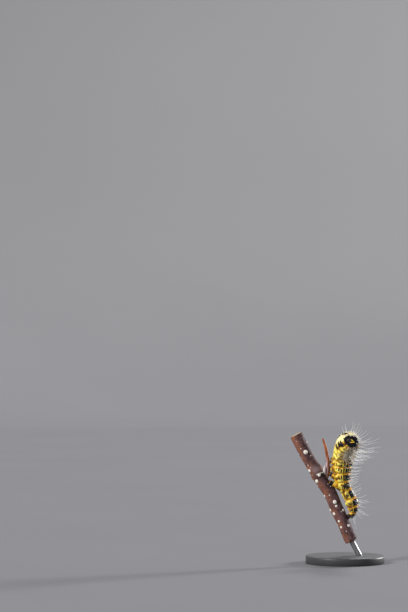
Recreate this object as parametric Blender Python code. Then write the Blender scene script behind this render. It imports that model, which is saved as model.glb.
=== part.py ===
"""A buff-tip moth larva that clasps a short cut length of twig, on a small display stand, life size.

Sizes are in millimetres, and place() turns them into metres. +Z is up, the larva's back faces +X, and
its front end turns away from the twig towards -Y. The origin is the middle of the stand's underside.
"""

import math
import random

import bmesh
import bpy
import numpy as np
from mathutils import Matrix, Vector
from mathutils.bvhtree import BVHTree

MM = 0.001
GAP = 0.3  # kept between solids that meet
SHARP_ANGLE = math.radians(32)

# The middle line of the body, from the tail tip to the neck
BODY_PATH = [
    (2.10, 0.0, 15.05),
    (2.61, 0.0, 17.00),
    (2.38, 0.0, 19.14),
    (1.72, 0.0, 21.28),
    (0.53, 0.0, 23.59),
    (-0.46, 0.0, 25.58),
    (-0.99, 0.0, 27.72),
    (-1.16, 0.0, 30.03),
    (-1.03, -0.2, 32.52),
    (-0.75, -1.2, 34.88),
    (-0.42, -3.0, 36.96),
    (-0.03, -5.0, 38.54),
    (0.42, -7.0, 39.62),
    (1.05, -8.7, 40.23),
    (1.45, -9.9, 40.49),
]
BACK_FACES = Vector((1.0, 0.0, 0.0))
FRONT_BACK_FACES = Vector((0.94, 0.0, -0.42))  # the front is turned a little about its own line
TURN_STARTS = 0.55  # how far along the body that turn starts

# Each segment from the tail: its name, its share of the length, and its height from the middle line
SEGMENTS = [
    ("abdomen_10", 1.55, 0.92),
    ("abdomen_9", 2.05, 1.70),
    ("abdomen_8", 2.60, 2.35),
    ("abdomen_7", 3.10, 2.05),
    ("abdomen_6", 3.10, 2.35),
    ("abdomen_5", 2.90, 2.95),
    ("abdomen_4", 2.75, 3.35),
    ("abdomen_3", 2.70, 3.60),
    ("abdomen_2", 2.60, 3.72),
    ("abdomen_1", 2.40, 3.80),
    ("thorax_3", 2.25, 3.80),
    ("thorax_2", 2.05, 3.70),
    ("thorax_1", 1.70, 3.10),
]
NAMES = [name for name, _, _ in SEGMENTS]
NECK_RADIUS = 2.10
TAIL_TIP_RADIUS = 0.50
FOLD_DEPTH = 0.13  # how far the skin pulls in at the folds, as a share of the radius
SIDE_ROLL = 0.07  # the swelling low on each side, as a share of the radius
SIDE_ROLL_AT = 118  # degrees from the back
SIDE_ROLL_WIDTH = 24
BELLY_FLATNESS = 0.08
BODY_SIDES = 24
SEGMENT_STEPS = [0.0, 0.12, 0.30, 0.50, 0.70, 0.88, 1.0]

HEAD_CENTRE = Vector((1.76, -11.40, 40.60))
HEAD_FACES = Vector((-0.10, -0.98, 0.10))
HEAD_TOP_FACES = Vector((0.94, 0.0, -0.34))
HEAD_HALF_WIDTH = 2.00
HEAD_HALF_HEIGHT = 2.05
HEAD_FRONT_DEPTH = 1.55
HEAD_BACK_DEPTH = 2.05
HEAD_JAW_NARROWING = 0.16
HEAD_GROOVE_DEPTH = 0.12
HEAD_GROOVE_WIDTH = 0.17
HEAD_LOBES = 0.03
HEAD_SIDES = 26
HEAD_RINGS = 16
EYE_RADIUS = 0.15
EYE_CIRCLE = Vector((0.90, 0.42, -0.42))  # the way out to the middle of the small eyes' circle
EYE_CIRCLE_RADIUS = 0.20

# Mouthparts in the head's own measures: to the right, to the front and up, and the half-thickness there
LABRUM = [
    (0.0, 1.20, -1.00, 0.62),
    (0.0, 1.45, -1.35, 0.66),
    (0.0, 1.42, -1.62, 0.42),
]
LABIUM = [
    (0.0, 0.15, -1.90, 0.62),
    (0.0, 0.45, -2.35, 0.55),
    (0.0, 0.75, -2.75, 0.30),
    (0.0, 0.95, -2.95, 0.14),
]
MANDIBLE = [
    (0.95, 0.70, -1.55, 0.50),
    (0.72, 1.15, -2.00, 0.44),
    (0.50, 1.35, -2.35, 0.32),
    (0.34, 1.42, -2.50, 0.18),
]
ANTENNA = [
    (1.25, 0.80, -1.00, 0.30),
    (1.42, 1.60, -1.35, 0.27),
    (1.52, 1.95, -1.52, 0.25),
    (1.60, 2.30, -1.72, 0.12),
]
LABRUM_FLATNESS = 0.42
MANDIBLE_FLATNESS = 0.80

# A leg's joints as shares of its length: downwards, outwards and forwards, and the thickness there
LEG_LENGTH = 1.9
LEG_RADIUS = 0.43
LEG_ROOT_AT = 140  # degrees from the back
LEG_AHEAD = {1: 0.0, 2: 0.6, 3: 1.0}  # how far in front of the middle of its segment each pair stands
LEG_SUNK = 0.6
LEG_JOINTS = [
    (0.00, 0.00, 0.00, 1.00),
    (0.32, 0.12, 0.00, 1.00),
    (0.36, 0.13, 0.01, 0.84),
    (0.56, 0.10, 0.10, 0.86),
    (0.60, 0.08, 0.13, 0.64),
    (0.72, -0.04, 0.28, 0.52),
    (0.78, -0.16, 0.44, 0.22),
]

# Each pair of prolegs: its label, its segment, its size, and the place of its left foot
PROLEGS = [
    ("3", "abdomen_3", 1.0, Vector((-4.80, -1.45, 33.60))),
    ("4", "abdomen_4", 1.0, Vector((-5.15, -1.50, 31.35))),
    ("5", "abdomen_5", 1.0, Vector((-5.00, -1.65, 29.50))),
    ("6", "abdomen_6", 1.0, Vector((-5.00, -1.72, 26.75))),
    ("anal", "abdomen_10", 0.8, Vector((1.02, -1.50, 15.26))),
]
PROLEG_BASE_RADIUS = 1.05
PROLEG_FOOT_RADIUS = 0.68
PROLEG_ROOT_AT = 140
PROLEG_SUNK = 0.9
SOLE_DEPTH = 0.22

TWIG_TOP = Vector((-15.90, 0.0, 42.50))
TWIG_FOOT = Vector((2.70, 0.0, 7.60))
TWIG_UPPER_RADIUS = 2.12
TWIG_LOWER_RADIUS = 2.14
TWIG_KNEE = 0.30
TWIG_KNEE_AT = 0.615  # where the side shoot grows, as a share of the length from the foot
TWIG_SIDES = 18
# Where the twig bends as shares of its length, how long each bend is, and how far it stands out to +X
TWIG_CROOKS = [(0.0, 0.13, -0.58), (0.425, 0.085, 0.62), (0.85, 0.16, -0.42)]
SHOOT_PATH = [
    (-6.60, 0.0, 27.80),
    (-5.90, 0.0, 29.90),
    (-5.75, 0.0, 32.40),
    (-5.85, 0.0, 35.20),
    (-6.40, 0.0, 38.10),
    (-7.26, 0.0, 40.90),
]
SHOOT_RADII = [1.00, 0.90, 0.70, 0.52, 0.46, 0.36]

# Lenticels on the side that faces -Y: millimetres below the twig's middle, and degrees round it
FRONT_LENTICELS = [
    (-13.3, 5),
    (-7.2, -59),
    (-4.5, 3),
    (-3.1, -43),
    (2.5, -76),
    (5.7, 5),
    (7.1, 5),
    (7.6, -76),
    (9.1, -46),
    (9.4, 52),
    (12.0, -35),
    (14.1, -41),
    (14.7, 32),
]
BACK_LENTICELS = 11
LENTICEL_SIZE = (0.26, 0.42, 0.20)  # half its width, half its length along the twig, and its height

BASE_RADIUS = 13.0
BASE_HEIGHT = 2.5
BASE_EDGE = 0.4
BASE_SIDES = 40
ROD_RADIUS = 0.9
ROD_SIDES = 20

BRISTLE_SPACING = 0.80  # round the body
BRISTLE_ARC = 131  # the last ones at each side of the back, in degrees
BRISTLE_FEWEST = 12  # places tried on the smallest segment
BRISTLE_ROWS = [0.70, 0.36, 0.56, 0.24]  # where they stand along their segment, in turn
BRISTLE_OFF_FOLD = 0.62
BRISTLE_STATIONS = [0.0, 0.08, 0.20, 0.40, 0.62, 0.80, 1.0]
BRISTLE_LENGTHS = [3.8, 4.2, 4.8, 4.2, 4.6, 6.2, 7.8]
BRISTLE_LEANS = [-1.3, -0.7, -0.15, 0.0, 0.0, 0.10, 0.35]
BRISTLE_SIDE_LENGTHS = [1.0, 0.92, 0.62]  # shares of that length at the back, the side and below
BRISTLE_SIDE_ANGLES = [0, 70, 130]
BRISTLE_THICKNESS = 0.52
BRISTLE_STEPS = [0.0, 0.36, 0.70, 1.0]
BRISTLE_TAPER = [1.0, 1.0, 0.66, 0.36, 0.0]
BRISTLE_SUNK = 0.75
BRISTLE_BEND = 0.26
BRISTLE_SAG = Vector((0.0, 0.0, -0.06))
BRISTLE_SEED = 11


def smooth_line(points, steps):
    """Points along a Catmull-Rom curve through the given ones."""
    given = np.array(points, float)
    ends = np.vstack([2 * given[0] - given[1], given, 2 * given[-1] - given[-2]])
    line = []
    for a, b, c, d in zip(ends, ends[1:], ends[2:], ends[3:]):
        for t in np.linspace(0.0, 1.0, steps, endpoint=False):
            cubic = -a + 3 * b - 3 * c + d
            square = 2 * a - 5 * b + 4 * c - d
            line.append(0.5 * (2 * b + (c - a) * t + square * t**2 + cubic * t**3))
    line.append(given[-1])
    return np.array(line)


BODY_LINE = smooth_line(BODY_PATH, 20)
BODY_AT = np.concatenate([[0.0], np.cumsum(np.linalg.norm(np.diff(BODY_LINE, axis=0), axis=1))])
BODY_LENGTH = BODY_AT[-1]
LENGTHS_SO_FAR = np.concatenate([[0.0], np.cumsum([length for _, length, _ in SEGMENTS])])
BOUNDARIES = LENGTHS_SO_FAR * BODY_LENGTH / LENGTHS_SO_FAR[-1]
MIDDLES = (BOUNDARIES[:-1] + BOUNDARIES[1:]) / 2
HEIGHT_STATIONS = [0.0, *MIDDLES, BODY_LENGTH]
HEIGHTS = [TAIL_TIP_RADIUS, *(height for _, _, height in SEGMENTS), NECK_RADIUS]


def point_at(along):
    return Vector([np.interp(along, BODY_AT, BODY_LINE[:, axis]) for axis in range(3)])


def body_frame(along):
    """The middle, the way forward, the way to the back and the way left, at a distance from the tail."""
    forward = (point_at(along + 0.4) - point_at(along - 0.4)).normalized()
    turn = max(0.0, along / BODY_LENGTH - TURN_STARTS) / (1 - TURN_STARTS)
    faces = BACK_FACES.lerp(FRONT_BACK_FACES, turn)
    back = (faces - forward * faces.dot(forward)).normalized()
    return point_at(along), forward, back, back.cross(forward)


def body_radius(along):
    """The height at a distance from the tail, and how much of the segment's swelling is there, up to 1."""
    radius = np.interp(along, HEIGHT_STATIONS, HEIGHTS)
    index = min(np.searchsorted(BOUNDARIES, along, side="right") - 1, len(SEGMENTS) - 1)
    start, end = BOUNDARIES[index], BOUNDARIES[index + 1]
    from_middle = abs(2 * (along - start) / (end - start) - 1)
    if along < MIDDLES[0]:
        share = along / MIDDLES[0]
        radius = TAIL_TIP_RADIUS + (HEIGHTS[1] - TAIL_TIP_RADIUS) * math.sqrt(share * (2 - share))
        from_middle = 0.0
    return radius * (1 - FOLD_DEPTH * from_middle**4), 1 - from_middle**2


def body_point(along, angle, lift=0.0):
    """A point on the skin, at an angle in degrees from the back, positive to the left."""
    centre, _, back, left = body_frame(along)
    radius, swelling = body_radius(along)
    turn = math.radians(angle)
    roll = SIDE_ROLL * swelling * math.exp(-(((abs(angle) - SIDE_ROLL_AT) / SIDE_ROLL_WIDTH) ** 2))
    belly = BELLY_FLATNESS * max(0.0, -math.cos(turn)) ** 2
    return centre + (back * math.cos(turn) + left * math.sin(turn)) * (radius * (1 + roll - belly) + lift)


def body_ring(along, lift=0.0, shift=0.0):
    """One ring of skin, moved along the body by shift, so that cut faces stay parallel."""
    forward = body_frame(along)[1]
    angles = [360 * i / BODY_SIDES - 180 for i in range(BODY_SIDES)]
    return [body_point(along, angle, lift) + forward * shift for angle in angles]


def loft(rings):
    """A closed mesh through rings of points. A ring of one point is a tip."""
    mesh = bmesh.new()
    loops = [[mesh.verts.new(point) for point in ring] for ring in rings]
    for first, second in zip(loops, loops[1:]):
        count = max(len(first), len(second))
        for i in range(count):
            j = (i + 1) % count
            around = [first[i % len(first)], first[j % len(first)]]
            around += [second[j % len(second)], second[i % len(second)]]
            mesh.faces.new(list(dict.fromkeys(around)))
    for end in (loops[0], loops[-1]):
        if len(end) > 2:
            mesh.faces.new(end)
    bmesh.ops.recalc_face_normals(mesh, faces=mesh.faces)
    return mesh


def rings_along(points, radii, sides, across=None, flatness=1.0):
    """Rings across a line of points, each turned as little as possible from the one before."""
    rings = []
    for i, point in enumerate(points):
        forward = (points[min(i + 1, len(points) - 1)] - points[max(i - 1, 0)]).normalized()
        across = across or forward.orthogonal()
        across = (across - forward * across.dot(forward)).normalized()
        other = forward.cross(across) * flatness
        turns = [2 * math.pi * k / sides for k in range(sides)]
        ring = [point + (across * math.cos(a) + other * math.sin(a)) * radii[i] for a in turns]
        rings.append(ring if radii[i] > 0 else [point])
    return rings


def material(name, colour, roughness, metallic=0.0):
    made = bpy.data.materials.new(name)
    made.use_nodes = True
    shader = made.node_tree.nodes["Principled BSDF"]
    shader.inputs["Base Color"].default_value = (*colour, 1.0)
    shader.inputs["Roughness"].default_value = roughness
    shader.inputs["Metallic"].default_value = metallic
    made.diffuse_color = (*colour, 1.0)
    return made


def shade(data):
    """Smooth shading, with sharp edges where faces meet at a clear angle."""
    data.shade_smooth()
    data.set_sharp_from_angle(angle=SHARP_ANGLE)


def place(name, mesh, finish, parent=None):
    """The mesh, in millimetres, as an object in metres with its origin at its own middle."""
    middle = sum((v.co for v in mesh.verts), Vector()) / len(mesh.verts)
    bmesh.ops.translate(mesh, verts=mesh.verts, vec=-middle)
    bmesh.ops.scale(mesh, verts=mesh.verts, vec=(MM, MM, MM))
    data = bpy.data.meshes.new(name)
    mesh.to_mesh(data)
    mesh.free()
    data.materials.append(finish)
    shade(data)
    made = bpy.data.objects.new(name, data)
    made.location = middle * MM
    made.parent = parent
    bpy.context.scene.collection.objects.link(made)
    bpy.context.view_layer.update()
    return made


def combine(made, pieces, operation):
    """One Boolean of an object and a collection of closed meshes, applied, which uses the pieces up."""
    group = bpy.data.collections.new("pieces of " + made.name)
    for piece in pieces:
        group.objects.link(piece)
    step = made.modifiers.new(operation.lower(), "BOOLEAN")
    step.operation = operation
    step.operand_type = "COLLECTION"
    step.collection = group
    result = bpy.data.meshes.new_from_object(made.evaluated_get(bpy.context.evaluated_depsgraph_get()))
    made.modifiers.clear()
    made.data = result
    keep_largest(made)
    shade(made.data)
    for piece in pieces:
        bpy.data.objects.remove(piece)
    bpy.data.collections.remove(group)
    return made


def keep_largest(made):
    """Keeps only the largest closed surface of an object."""
    mesh = bmesh.new()
    mesh.from_mesh(made.data)
    waiting = set(mesh.verts)
    shells = []
    while waiting:
        shell = set()
        reached = [next(iter(waiting))]
        while reached:
            vertex = reached.pop()
            if vertex not in shell:
                shell.add(vertex)
                reached.extend(edge.other_vert(vertex) for edge in vertex.link_edges)
        waiting -= shell
        shells.append(shell)
    largest = max(shells, key=len)
    bmesh.ops.delete(mesh, geom=[v for v in mesh.verts if v not in largest], context="VERTS")
    mesh.to_mesh(made.data)
    mesh.free()


def cut_clear(made, *neighbours):
    """Cuts an object back from its neighbours, each given by the function of its mesh grown by the gap."""
    for neighbour in neighbours:
        cutter = place("cutter", neighbour(GAP), made.data.materials[0])
        combine(made, [cutter], "DIFFERENCE")


def segment_mesh(index):
    """One segment of the body, with a cut face at each fold."""
    start, end = BOUNDARIES[index], BOUNDARIES[index + 1]
    inner = [body_ring(start + (end - start) * step) for step in SEGMENT_STEPS[1:-1]]
    return loft([body_ring(start, shift=GAP / 2), *inner, body_ring(end, shift=-GAP / 2)])


def body_mesh(lift):
    """The body in one piece, grown by lift."""
    rings = [body_ring(0.0, lift, -lift)]
    for start, end in zip(BOUNDARIES, BOUNDARIES[1:]):
        rings += [body_ring(start + (end - start) * step, lift) for step in SEGMENT_STEPS[1:]]
    rings[-1] = body_ring(BODY_LENGTH, lift, lift)
    return loft(rings)


HEAD_FORWARD = HEAD_FACES.normalized()
HEAD_UP = (HEAD_TOP_FACES - HEAD_FORWARD * HEAD_TOP_FACES.dot(HEAD_FORWARD)).normalized()
HEAD_RIGHT = HEAD_FORWARD.cross(HEAD_UP)


def on_head(x, y, z):
    """From the head's own measures, to the right, to the front and up, to the model's."""
    return HEAD_CENTRE + HEAD_RIGHT * x + HEAD_FORWARD * y + HEAD_UP * z


def head_surface(way, lift=0.0):
    """The capsule's surface in the head's own measures: two lobes with a groove between, narrow jaws."""
    x, y, z = way.normalized()
    above, below = max(0.0, z), max(0.0, -z)
    groove = HEAD_GROOVE_DEPTH * math.exp(-((x / HEAD_GROOVE_WIDTH) ** 2)) * min(1.0, above * 1.6)
    lobes = HEAD_LOBES * math.exp(-(((abs(x) - 0.45) / 0.25) ** 2)) * above
    half_width = HEAD_HALF_WIDTH * (1 - HEAD_JAW_NARROWING * below**2)
    depth = (HEAD_FRONT_DEPTH if y > 0 else HEAD_BACK_DEPTH) * (1 - 0.1 * max(0.0, y) * below)
    place_on = Vector((x * half_width, y * depth, z * HEAD_HALF_HEIGHT)) * (1 + lobes - groove)
    return place_on + place_on.normalized() * lift


def head_mesh(lift):
    mesh = bmesh.new()
    bmesh.ops.create_uvsphere(mesh, u_segments=HEAD_SIDES, v_segments=HEAD_RINGS, radius=1.0)
    for vertex in mesh.verts:
        vertex.co = on_head(*head_surface(vertex.co, lift))
    return mesh


def make_head(finish, parent):
    """The capsule, cut flat at the neck, with a circle of six small eyes low on each side."""
    mesh = head_mesh(0.0)
    neck, forward, _, _ = body_frame(BODY_LENGTH)
    cut = bmesh.ops.bisect_plane(
        mesh,
        geom=mesh.verts[:] + mesh.edges[:] + mesh.faces[:],
        plane_co=neck + forward * (GAP / 2),
        plane_no=forward,
        clear_inner=True,
    )
    rim = [edge for edge in cut["geom_cut"] if isinstance(edge, bmesh.types.BMEdge)]
    bmesh.ops.contextual_create(mesh, geom=rim)
    bmesh.ops.recalc_face_normals(mesh, faces=mesh.faces)
    head = place("head", mesh, finish, parent)
    eyes = []
    for side in (-1, 1):
        for i in range(6):
            turn = math.radians(-70 + 38 * i)
            spread = EYE_CIRCLE_RADIUS if i < 5 else 0.0
            way = Vector((side * EYE_CIRCLE.x, EYE_CIRCLE.y + spread * math.cos(turn), 0.0))
            way.z = EYE_CIRCLE.z + spread * math.sin(turn)
            eye = bmesh.new()
            bmesh.ops.create_icosphere(eye, subdivisions=1, radius=EYE_RADIUS)
            bmesh.ops.translate(eye, verts=eye.verts, vec=on_head(*head_surface(way, -0.03)))
            eyes.append(place("eye", eye, finish))
    combine(head, eyes, "UNION")


def make_mouthpart(name, shape, finish, parent, side=1, flatness=1.0):
    """One tapered mouthpart, mirrored where side is -1, and cut clear of the capsule."""
    line = [on_head(side * x, y, z) for x, y, z, _ in shape]
    radii = [radius for _, _, _, radius in shape]
    made = place(name, loft(rings_along(line, radii, 10, HEAD_RIGHT, flatness)), finish, parent)
    cut_clear(made, head_mesh)


def make_mouthparts(hard, soft, parent):
    make_mouthpart("labrum", LABRUM, soft, parent, flatness=LABRUM_FLATNESS)
    make_mouthpart("labium", LABIUM, soft, parent)
    for side, name in ((-1, "left"), (1, "right")):
        make_mouthpart(f"mandible_{name}", MANDIBLE, hard, parent, side, MANDIBLE_FLATNESS)
        make_mouthpart(f"antenna_{name}", ANTENNA, soft, parent, side)


def make_legs(finish, parent):
    """Three pairs of jointed legs, each bent inwards and forwards to a claw."""
    for number in (1, 2, 3):
        along = MIDDLES[NAMES.index(f"thorax_{number}")] + LEG_AHEAD[number]
        _, forward, back, left = body_frame(along)
        for side, name in ((1, "left"), (-1, "right")):
            root = body_point(along, side * LEG_ROOT_AT, -LEG_SUNK)
            line = []
            for down, out, ahead, _ in LEG_JOINTS:
                line.append(root + (left * (side * out) - back * down + forward * ahead) * LEG_LENGTH)
            radii = [LEG_RADIUS * thickness for _, _, _, thickness in LEG_JOINTS]
            leg = place(f"leg_{number}_{name}", loft(rings_along(line, radii, 10)), finish, parent)
            cut_clear(leg, body_mesh)


def make_prolegs(finish, parent):
    """Five pairs of fleshy prolegs, whose feet clasp the perch from both sides."""
    for label, segment, size, left_foot in PROLEGS:
        along = MIDDLES[NAMES.index(segment)]
        for side, name in ((1, "left"), (-1, "right")):
            outwards = Vector((0.0, -side * size, 0.0))
            root = body_point(along, side * PROLEG_ROOT_AT, -PROLEG_SUNK * size)
            foot = Vector((left_foot.x, left_foot.y * side, left_foot.z))
            knee = root.lerp(foot, 0.55) + outwards * 0.25
            ankle = root.lerp(foot, 0.82) + outwards * 0.10
            sole = foot + (foot - ankle).normalized() * SOLE_DEPTH
            radii = [PROLEG_BASE_RADIUS * size, PROLEG_BASE_RADIUS * size * 0.92]
            radii += [PROLEG_FOOT_RADIUS * share for share in (0.94, 1.08, 0.75)]
            mesh = loft(rings_along([root, knee, ankle, foot, sole], radii, 12))
            proleg = place(f"proleg_{label}_{name}", mesh, finish, parent)
            cut_clear(proleg, body_mesh, twig_mesh, shoot_mesh)


def twig_radius(share):
    """The twig's radius, from its foot at 0 to its top at 1, with a knee where the side shoot grows."""
    above = 1 / (1 + math.exp(-(share - TWIG_KNEE_AT) / 0.012))
    plain = TWIG_LOWER_RADIUS + (TWIG_UPPER_RADIUS - TWIG_LOWER_RADIUS) * above
    return plain + TWIG_KNEE * math.exp(-(((share - TWIG_KNEE_AT) / 0.022) ** 2))


def twig_middle(share):
    """The middle of the slightly crooked twig, from its foot at 0 to its top at 1."""
    way = (TWIG_TOP - TWIG_FOOT).normalized()
    across = Vector((way.z, 0.0, -way.x))
    bend = sum(far * math.exp(-(((share - place) / width) ** 2)) for place, width, far in TWIG_CROOKS)
    return TWIG_FOOT.lerp(TWIG_TOP, share) + across * bend


def twig_mesh(lift):
    """The twig grown by lift, with its rings set closer at the knee."""
    shares = [*np.linspace(0.0, TWIG_KNEE_AT - 0.07, 13)]
    shares += [*np.linspace(TWIG_KNEE_AT - 0.045, TWIG_KNEE_AT + 0.045, 7)]
    shares += [*np.linspace(TWIG_KNEE_AT + 0.07, 1.0, 8)]
    line = [twig_middle(share) for share in shares]
    return loft(rings_along(line, [twig_radius(share) + lift for share in shares], TWIG_SIDES))


def shoot_mesh(lift):
    """The side shoot grown by lift."""
    line = [Vector(point) for point in smooth_line(SHOOT_PATH, 3)]
    steps = np.linspace(0, len(SHOOT_RADII) - 1, len(line))
    radii = [np.interp(step, range(len(SHOOT_RADII)), SHOOT_RADII) + lift for step in steps]
    return loft(rings_along(line, radii, 10))


def make_lenticel(below, angle, finish):
    """A raised oval pore, at millimetres below the twig's middle and degrees round it from -Y."""
    down = (TWIG_FOOT - TWIG_TOP).normalized()
    front = Vector((0.0, -1.0, 0.0))
    turn = math.radians(angle)
    out = front * math.cos(turn) + front.cross(down) * math.sin(turn)
    share = 0.5 - below / (TWIG_TOP - TWIG_FOOT).length
    width, length, height = LENTICEL_SIZE
    turned = Matrix((out.cross(down) * width, down * length, out * height)).transposed().to_4x4()
    turned.translation = twig_middle(share) + out * (twig_radius(share) - 0.02)
    mesh = bmesh.new()
    bmesh.ops.create_icosphere(mesh, subdivisions=1, radius=1.0)
    bmesh.ops.transform(mesh, matrix=turned, verts=mesh.verts)
    bmesh.ops.recalc_face_normals(mesh, faces=mesh.faces)
    return place("lenticel", mesh, finish)


def make_twig(bark, shoot_bark, parent):
    """The twig with its raised lenticels, and the thin side shoot that grows from its knee."""
    twig = place("twig", twig_mesh(0.0), bark, parent)
    behind = [(-16.0 + 2.9 * k, 105 + 137 * k % 150) for k in range(BACK_LENTICELS)]
    lenticels = [make_lenticel(below, angle, bark) for below, angle in FRONT_LENTICELS + behind]
    combine(twig, lenticels, "UNION")
    shoot = place("twig_side_shoot", shoot_mesh(0.0), shoot_bark, parent)
    cut_clear(shoot, twig_mesh)


def make_stand(base_finish, rod_finish, parent):
    """A round base, and a rod in line with the twig from the base up to the twig's cut foot."""
    rings = []
    for radius, height in (
        (BASE_RADIUS - BASE_EDGE / 2, 0.0),
        (BASE_RADIUS, BASE_EDGE / 2),
        (BASE_RADIUS, BASE_HEIGHT - BASE_EDGE),
        (BASE_RADIUS - BASE_EDGE, BASE_HEIGHT),
    ):
        turns = [2 * math.pi * k / BASE_SIDES for k in range(BASE_SIDES)]
        rings.append([Vector((radius * math.cos(a), radius * math.sin(a), height)) for a in turns])
    place("stand_base", loft(rings), base_finish, parent)

    down = (TWIG_FOOT - TWIG_TOP).normalized()
    top = twig_middle(0.0) + down * GAP
    upper = rings_along([top, top + down], [ROD_RADIUS, ROD_RADIUS], ROD_SIDES)[0]
    lower = [point + down * ((point.z - BASE_HEIGHT - GAP) / -down.z) for point in upper]
    place("stand_rod", loft([upper, lower]), rod_finish, parent)


def bristle_line(along, angle, source):
    """The points of one bristle, from its sunk root to its tip. It leans, and bends as it tapers."""
    centre, forward, _, _ = body_frame(along)
    root = body_point(along, angle)
    out = (root - centre).normalized()
    side = out.cross(forward)
    share = along / BODY_LENGTH
    length = np.interp(share, BRISTLE_STATIONS, BRISTLE_LENGTHS) * source.uniform(0.88, 1.10)
    length *= np.interp(abs(angle), BRISTLE_SIDE_ANGLES, BRISTLE_SIDE_LENGTHS)
    lean = np.interp(share, BRISTLE_STATIONS, BRISTLE_LEANS) + source.uniform(-0.10, 0.10)
    way = (out + forward * lean + side * source.uniform(-0.12, 0.12)).normalized()
    bend = side * source.uniform(-BRISTLE_BEND, BRISTLE_BEND)
    bend += forward * source.uniform(-BRISTLE_BEND, BRISTLE_BEND) + BRISTLE_SAG
    line = [root + (way * step + bend * step**2) * length for step in BRISTLE_STEPS]
    return [root - way * BRISTLE_SUNK] + line


def close_points(line):
    """Points set closely along a bristle, without its sunk root."""
    return [a.lerp(b, t / 5) for a, b in zip(line[1:], line[2:]) for t in range(6)]


def surface_tree(made):
    """The nearest-point lookup of an object's surface, in millimetres."""
    places = [made.matrix_world @ vertex.co / MM for vertex in made.data.vertices]
    return BVHTree.FromPolygons(places, [tuple(face.vertices) for face in made.data.polygons])


def add_bristles(segments, others):
    """Bristles in rows round each segment, joined to its skin and clear of one another and of all else."""
    source = random.Random(BRISTLE_SEED)
    trees = {made.name: surface_tree(made) for made in segments + others}
    taken = np.full((1, 3), np.inf)
    half = BRISTLE_THICKNESS / 2
    for index, made in enumerate(segments):
        start, end = BOUNDARIES[index], BOUNDARIES[index + 1]
        walls = [tree for name, tree in trees.items() if name != made.name]
        arc_length = SEGMENTS[index][2] * math.radians(2 * BRISTLE_ARC)
        tries = max(BRISTLE_FEWEST, round(arc_length / BRISTLE_SPACING))
        bristles = []
        for row in range(tries + 1):
            angle = BRISTLE_ARC * (2 * row / tries - 1) + source.uniform(-3, 3)
            along = start + (end - start) * (BRISTLE_ROWS[row % 4] + source.uniform(-0.04, 0.04))
            along = min(max(along, start + BRISTLE_OFF_FOLD), end - BRISTLE_OFF_FOLD)
            line = bristle_line(along, angle, source)
            points = close_points(line)
            cloud = np.array([tuple(point) for point in points])
            apart = np.linalg.norm(cloud[:, None] - taken[None], axis=2).min()
            clear = min(tree.find_nearest(point)[3] for tree in walls for point in points)
            if apart < BRISTLE_THICKNESS + GAP or clear < half + GAP:
                continue
            taken = np.vstack([taken, cloud])
            radii = [BRISTLE_THICKNESS / math.sqrt(3) * taper for taper in BRISTLE_TAPER]
            bristle = loft(rings_along(line, radii, 3))
            bristles.append(place("bristle", bristle, made.data.materials[0]))
        print(made.name, len(bristles), "bristles")
        combine(made, bristles, "UNION")


def main():
    for old in list(bpy.data.objects):
        bpy.data.objects.remove(old)
    skin = material("yellow skin", (0.62, 0.42, 0.06), 0.55)
    foot_skin = material("orange yellow skin", (0.70, 0.38, 0.05), 0.55)
    capsule = material("black head capsule", (0.012, 0.011, 0.013), 0.22)
    mouth = material("pale mouthparts", (0.45, 0.33, 0.14), 0.40)
    claw = material("black leg", (0.018, 0.016, 0.018), 0.30)
    bark = material("purple brown bark", (0.16, 0.075, 0.05), 0.70)
    shoot_bark = material("orange brown shoot", (0.36, 0.10, 0.03), 0.60)
    base_finish = material("charcoal base", (0.05, 0.05, 0.055), 0.45)
    rod_finish = material("steel rod", (0.55, 0.55, 0.56), 0.30, 1.0)

    larva = bpy.data.objects.new("larva", None)
    perch = bpy.data.objects.new("perch", None)
    for empty in (larva, perch):
        bpy.context.scene.collection.objects.link(empty)

    make_stand(base_finish, rod_finish, perch)
    make_twig(bark, shoot_bark, perch)
    make_head(capsule, larva)
    make_mouthparts(claw, mouth, larva)
    make_legs(claw, larva)
    make_prolegs(foot_skin, larva)
    others = [made for made in bpy.data.objects if made.type == "MESH"]
    segments = [place(name, segment_mesh(index), skin, larva) for index, name in enumerate(NAMES)]
    add_bristles(segments, others)


main()
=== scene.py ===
# %% [markdown]
# # A buff-tip moth larva on a twig, life size
# The larva hangs on to a short cut twig, and a small stand holds the twig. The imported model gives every
# piece its place. This script gives each piece its finish: a yellow skin with rows of black dashes, a
# glossy black head, long white hairs, and bark with pale lenticels.
#
# Shapes are worked out in millimetres, and become metres when a mesh is made.

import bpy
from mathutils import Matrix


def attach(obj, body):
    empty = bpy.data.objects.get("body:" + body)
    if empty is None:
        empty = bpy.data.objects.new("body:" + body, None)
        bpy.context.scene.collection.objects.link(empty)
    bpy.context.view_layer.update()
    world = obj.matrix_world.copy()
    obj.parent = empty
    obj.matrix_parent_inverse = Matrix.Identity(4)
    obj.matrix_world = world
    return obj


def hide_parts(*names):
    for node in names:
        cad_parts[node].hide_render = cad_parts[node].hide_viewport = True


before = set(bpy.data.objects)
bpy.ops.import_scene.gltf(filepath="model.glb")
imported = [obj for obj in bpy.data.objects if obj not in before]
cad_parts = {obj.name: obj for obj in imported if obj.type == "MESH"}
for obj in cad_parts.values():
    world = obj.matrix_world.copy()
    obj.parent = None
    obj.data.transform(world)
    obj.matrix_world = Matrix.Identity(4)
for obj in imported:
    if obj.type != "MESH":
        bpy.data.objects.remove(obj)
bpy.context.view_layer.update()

# %% The modules and units that all cells use
import math
import random

import bmesh
import bpy
import numpy as np
from mathutils import Matrix, Vector, kdtree, noise

MM = 0.001
SEED = 7


def shown(name, data):
    """An object at the origin that shows a mesh, a camera or a lamp."""
    made = bpy.data.objects.new(name, data)
    bpy.context.scene.collection.objects.link(made)
    return made

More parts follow.
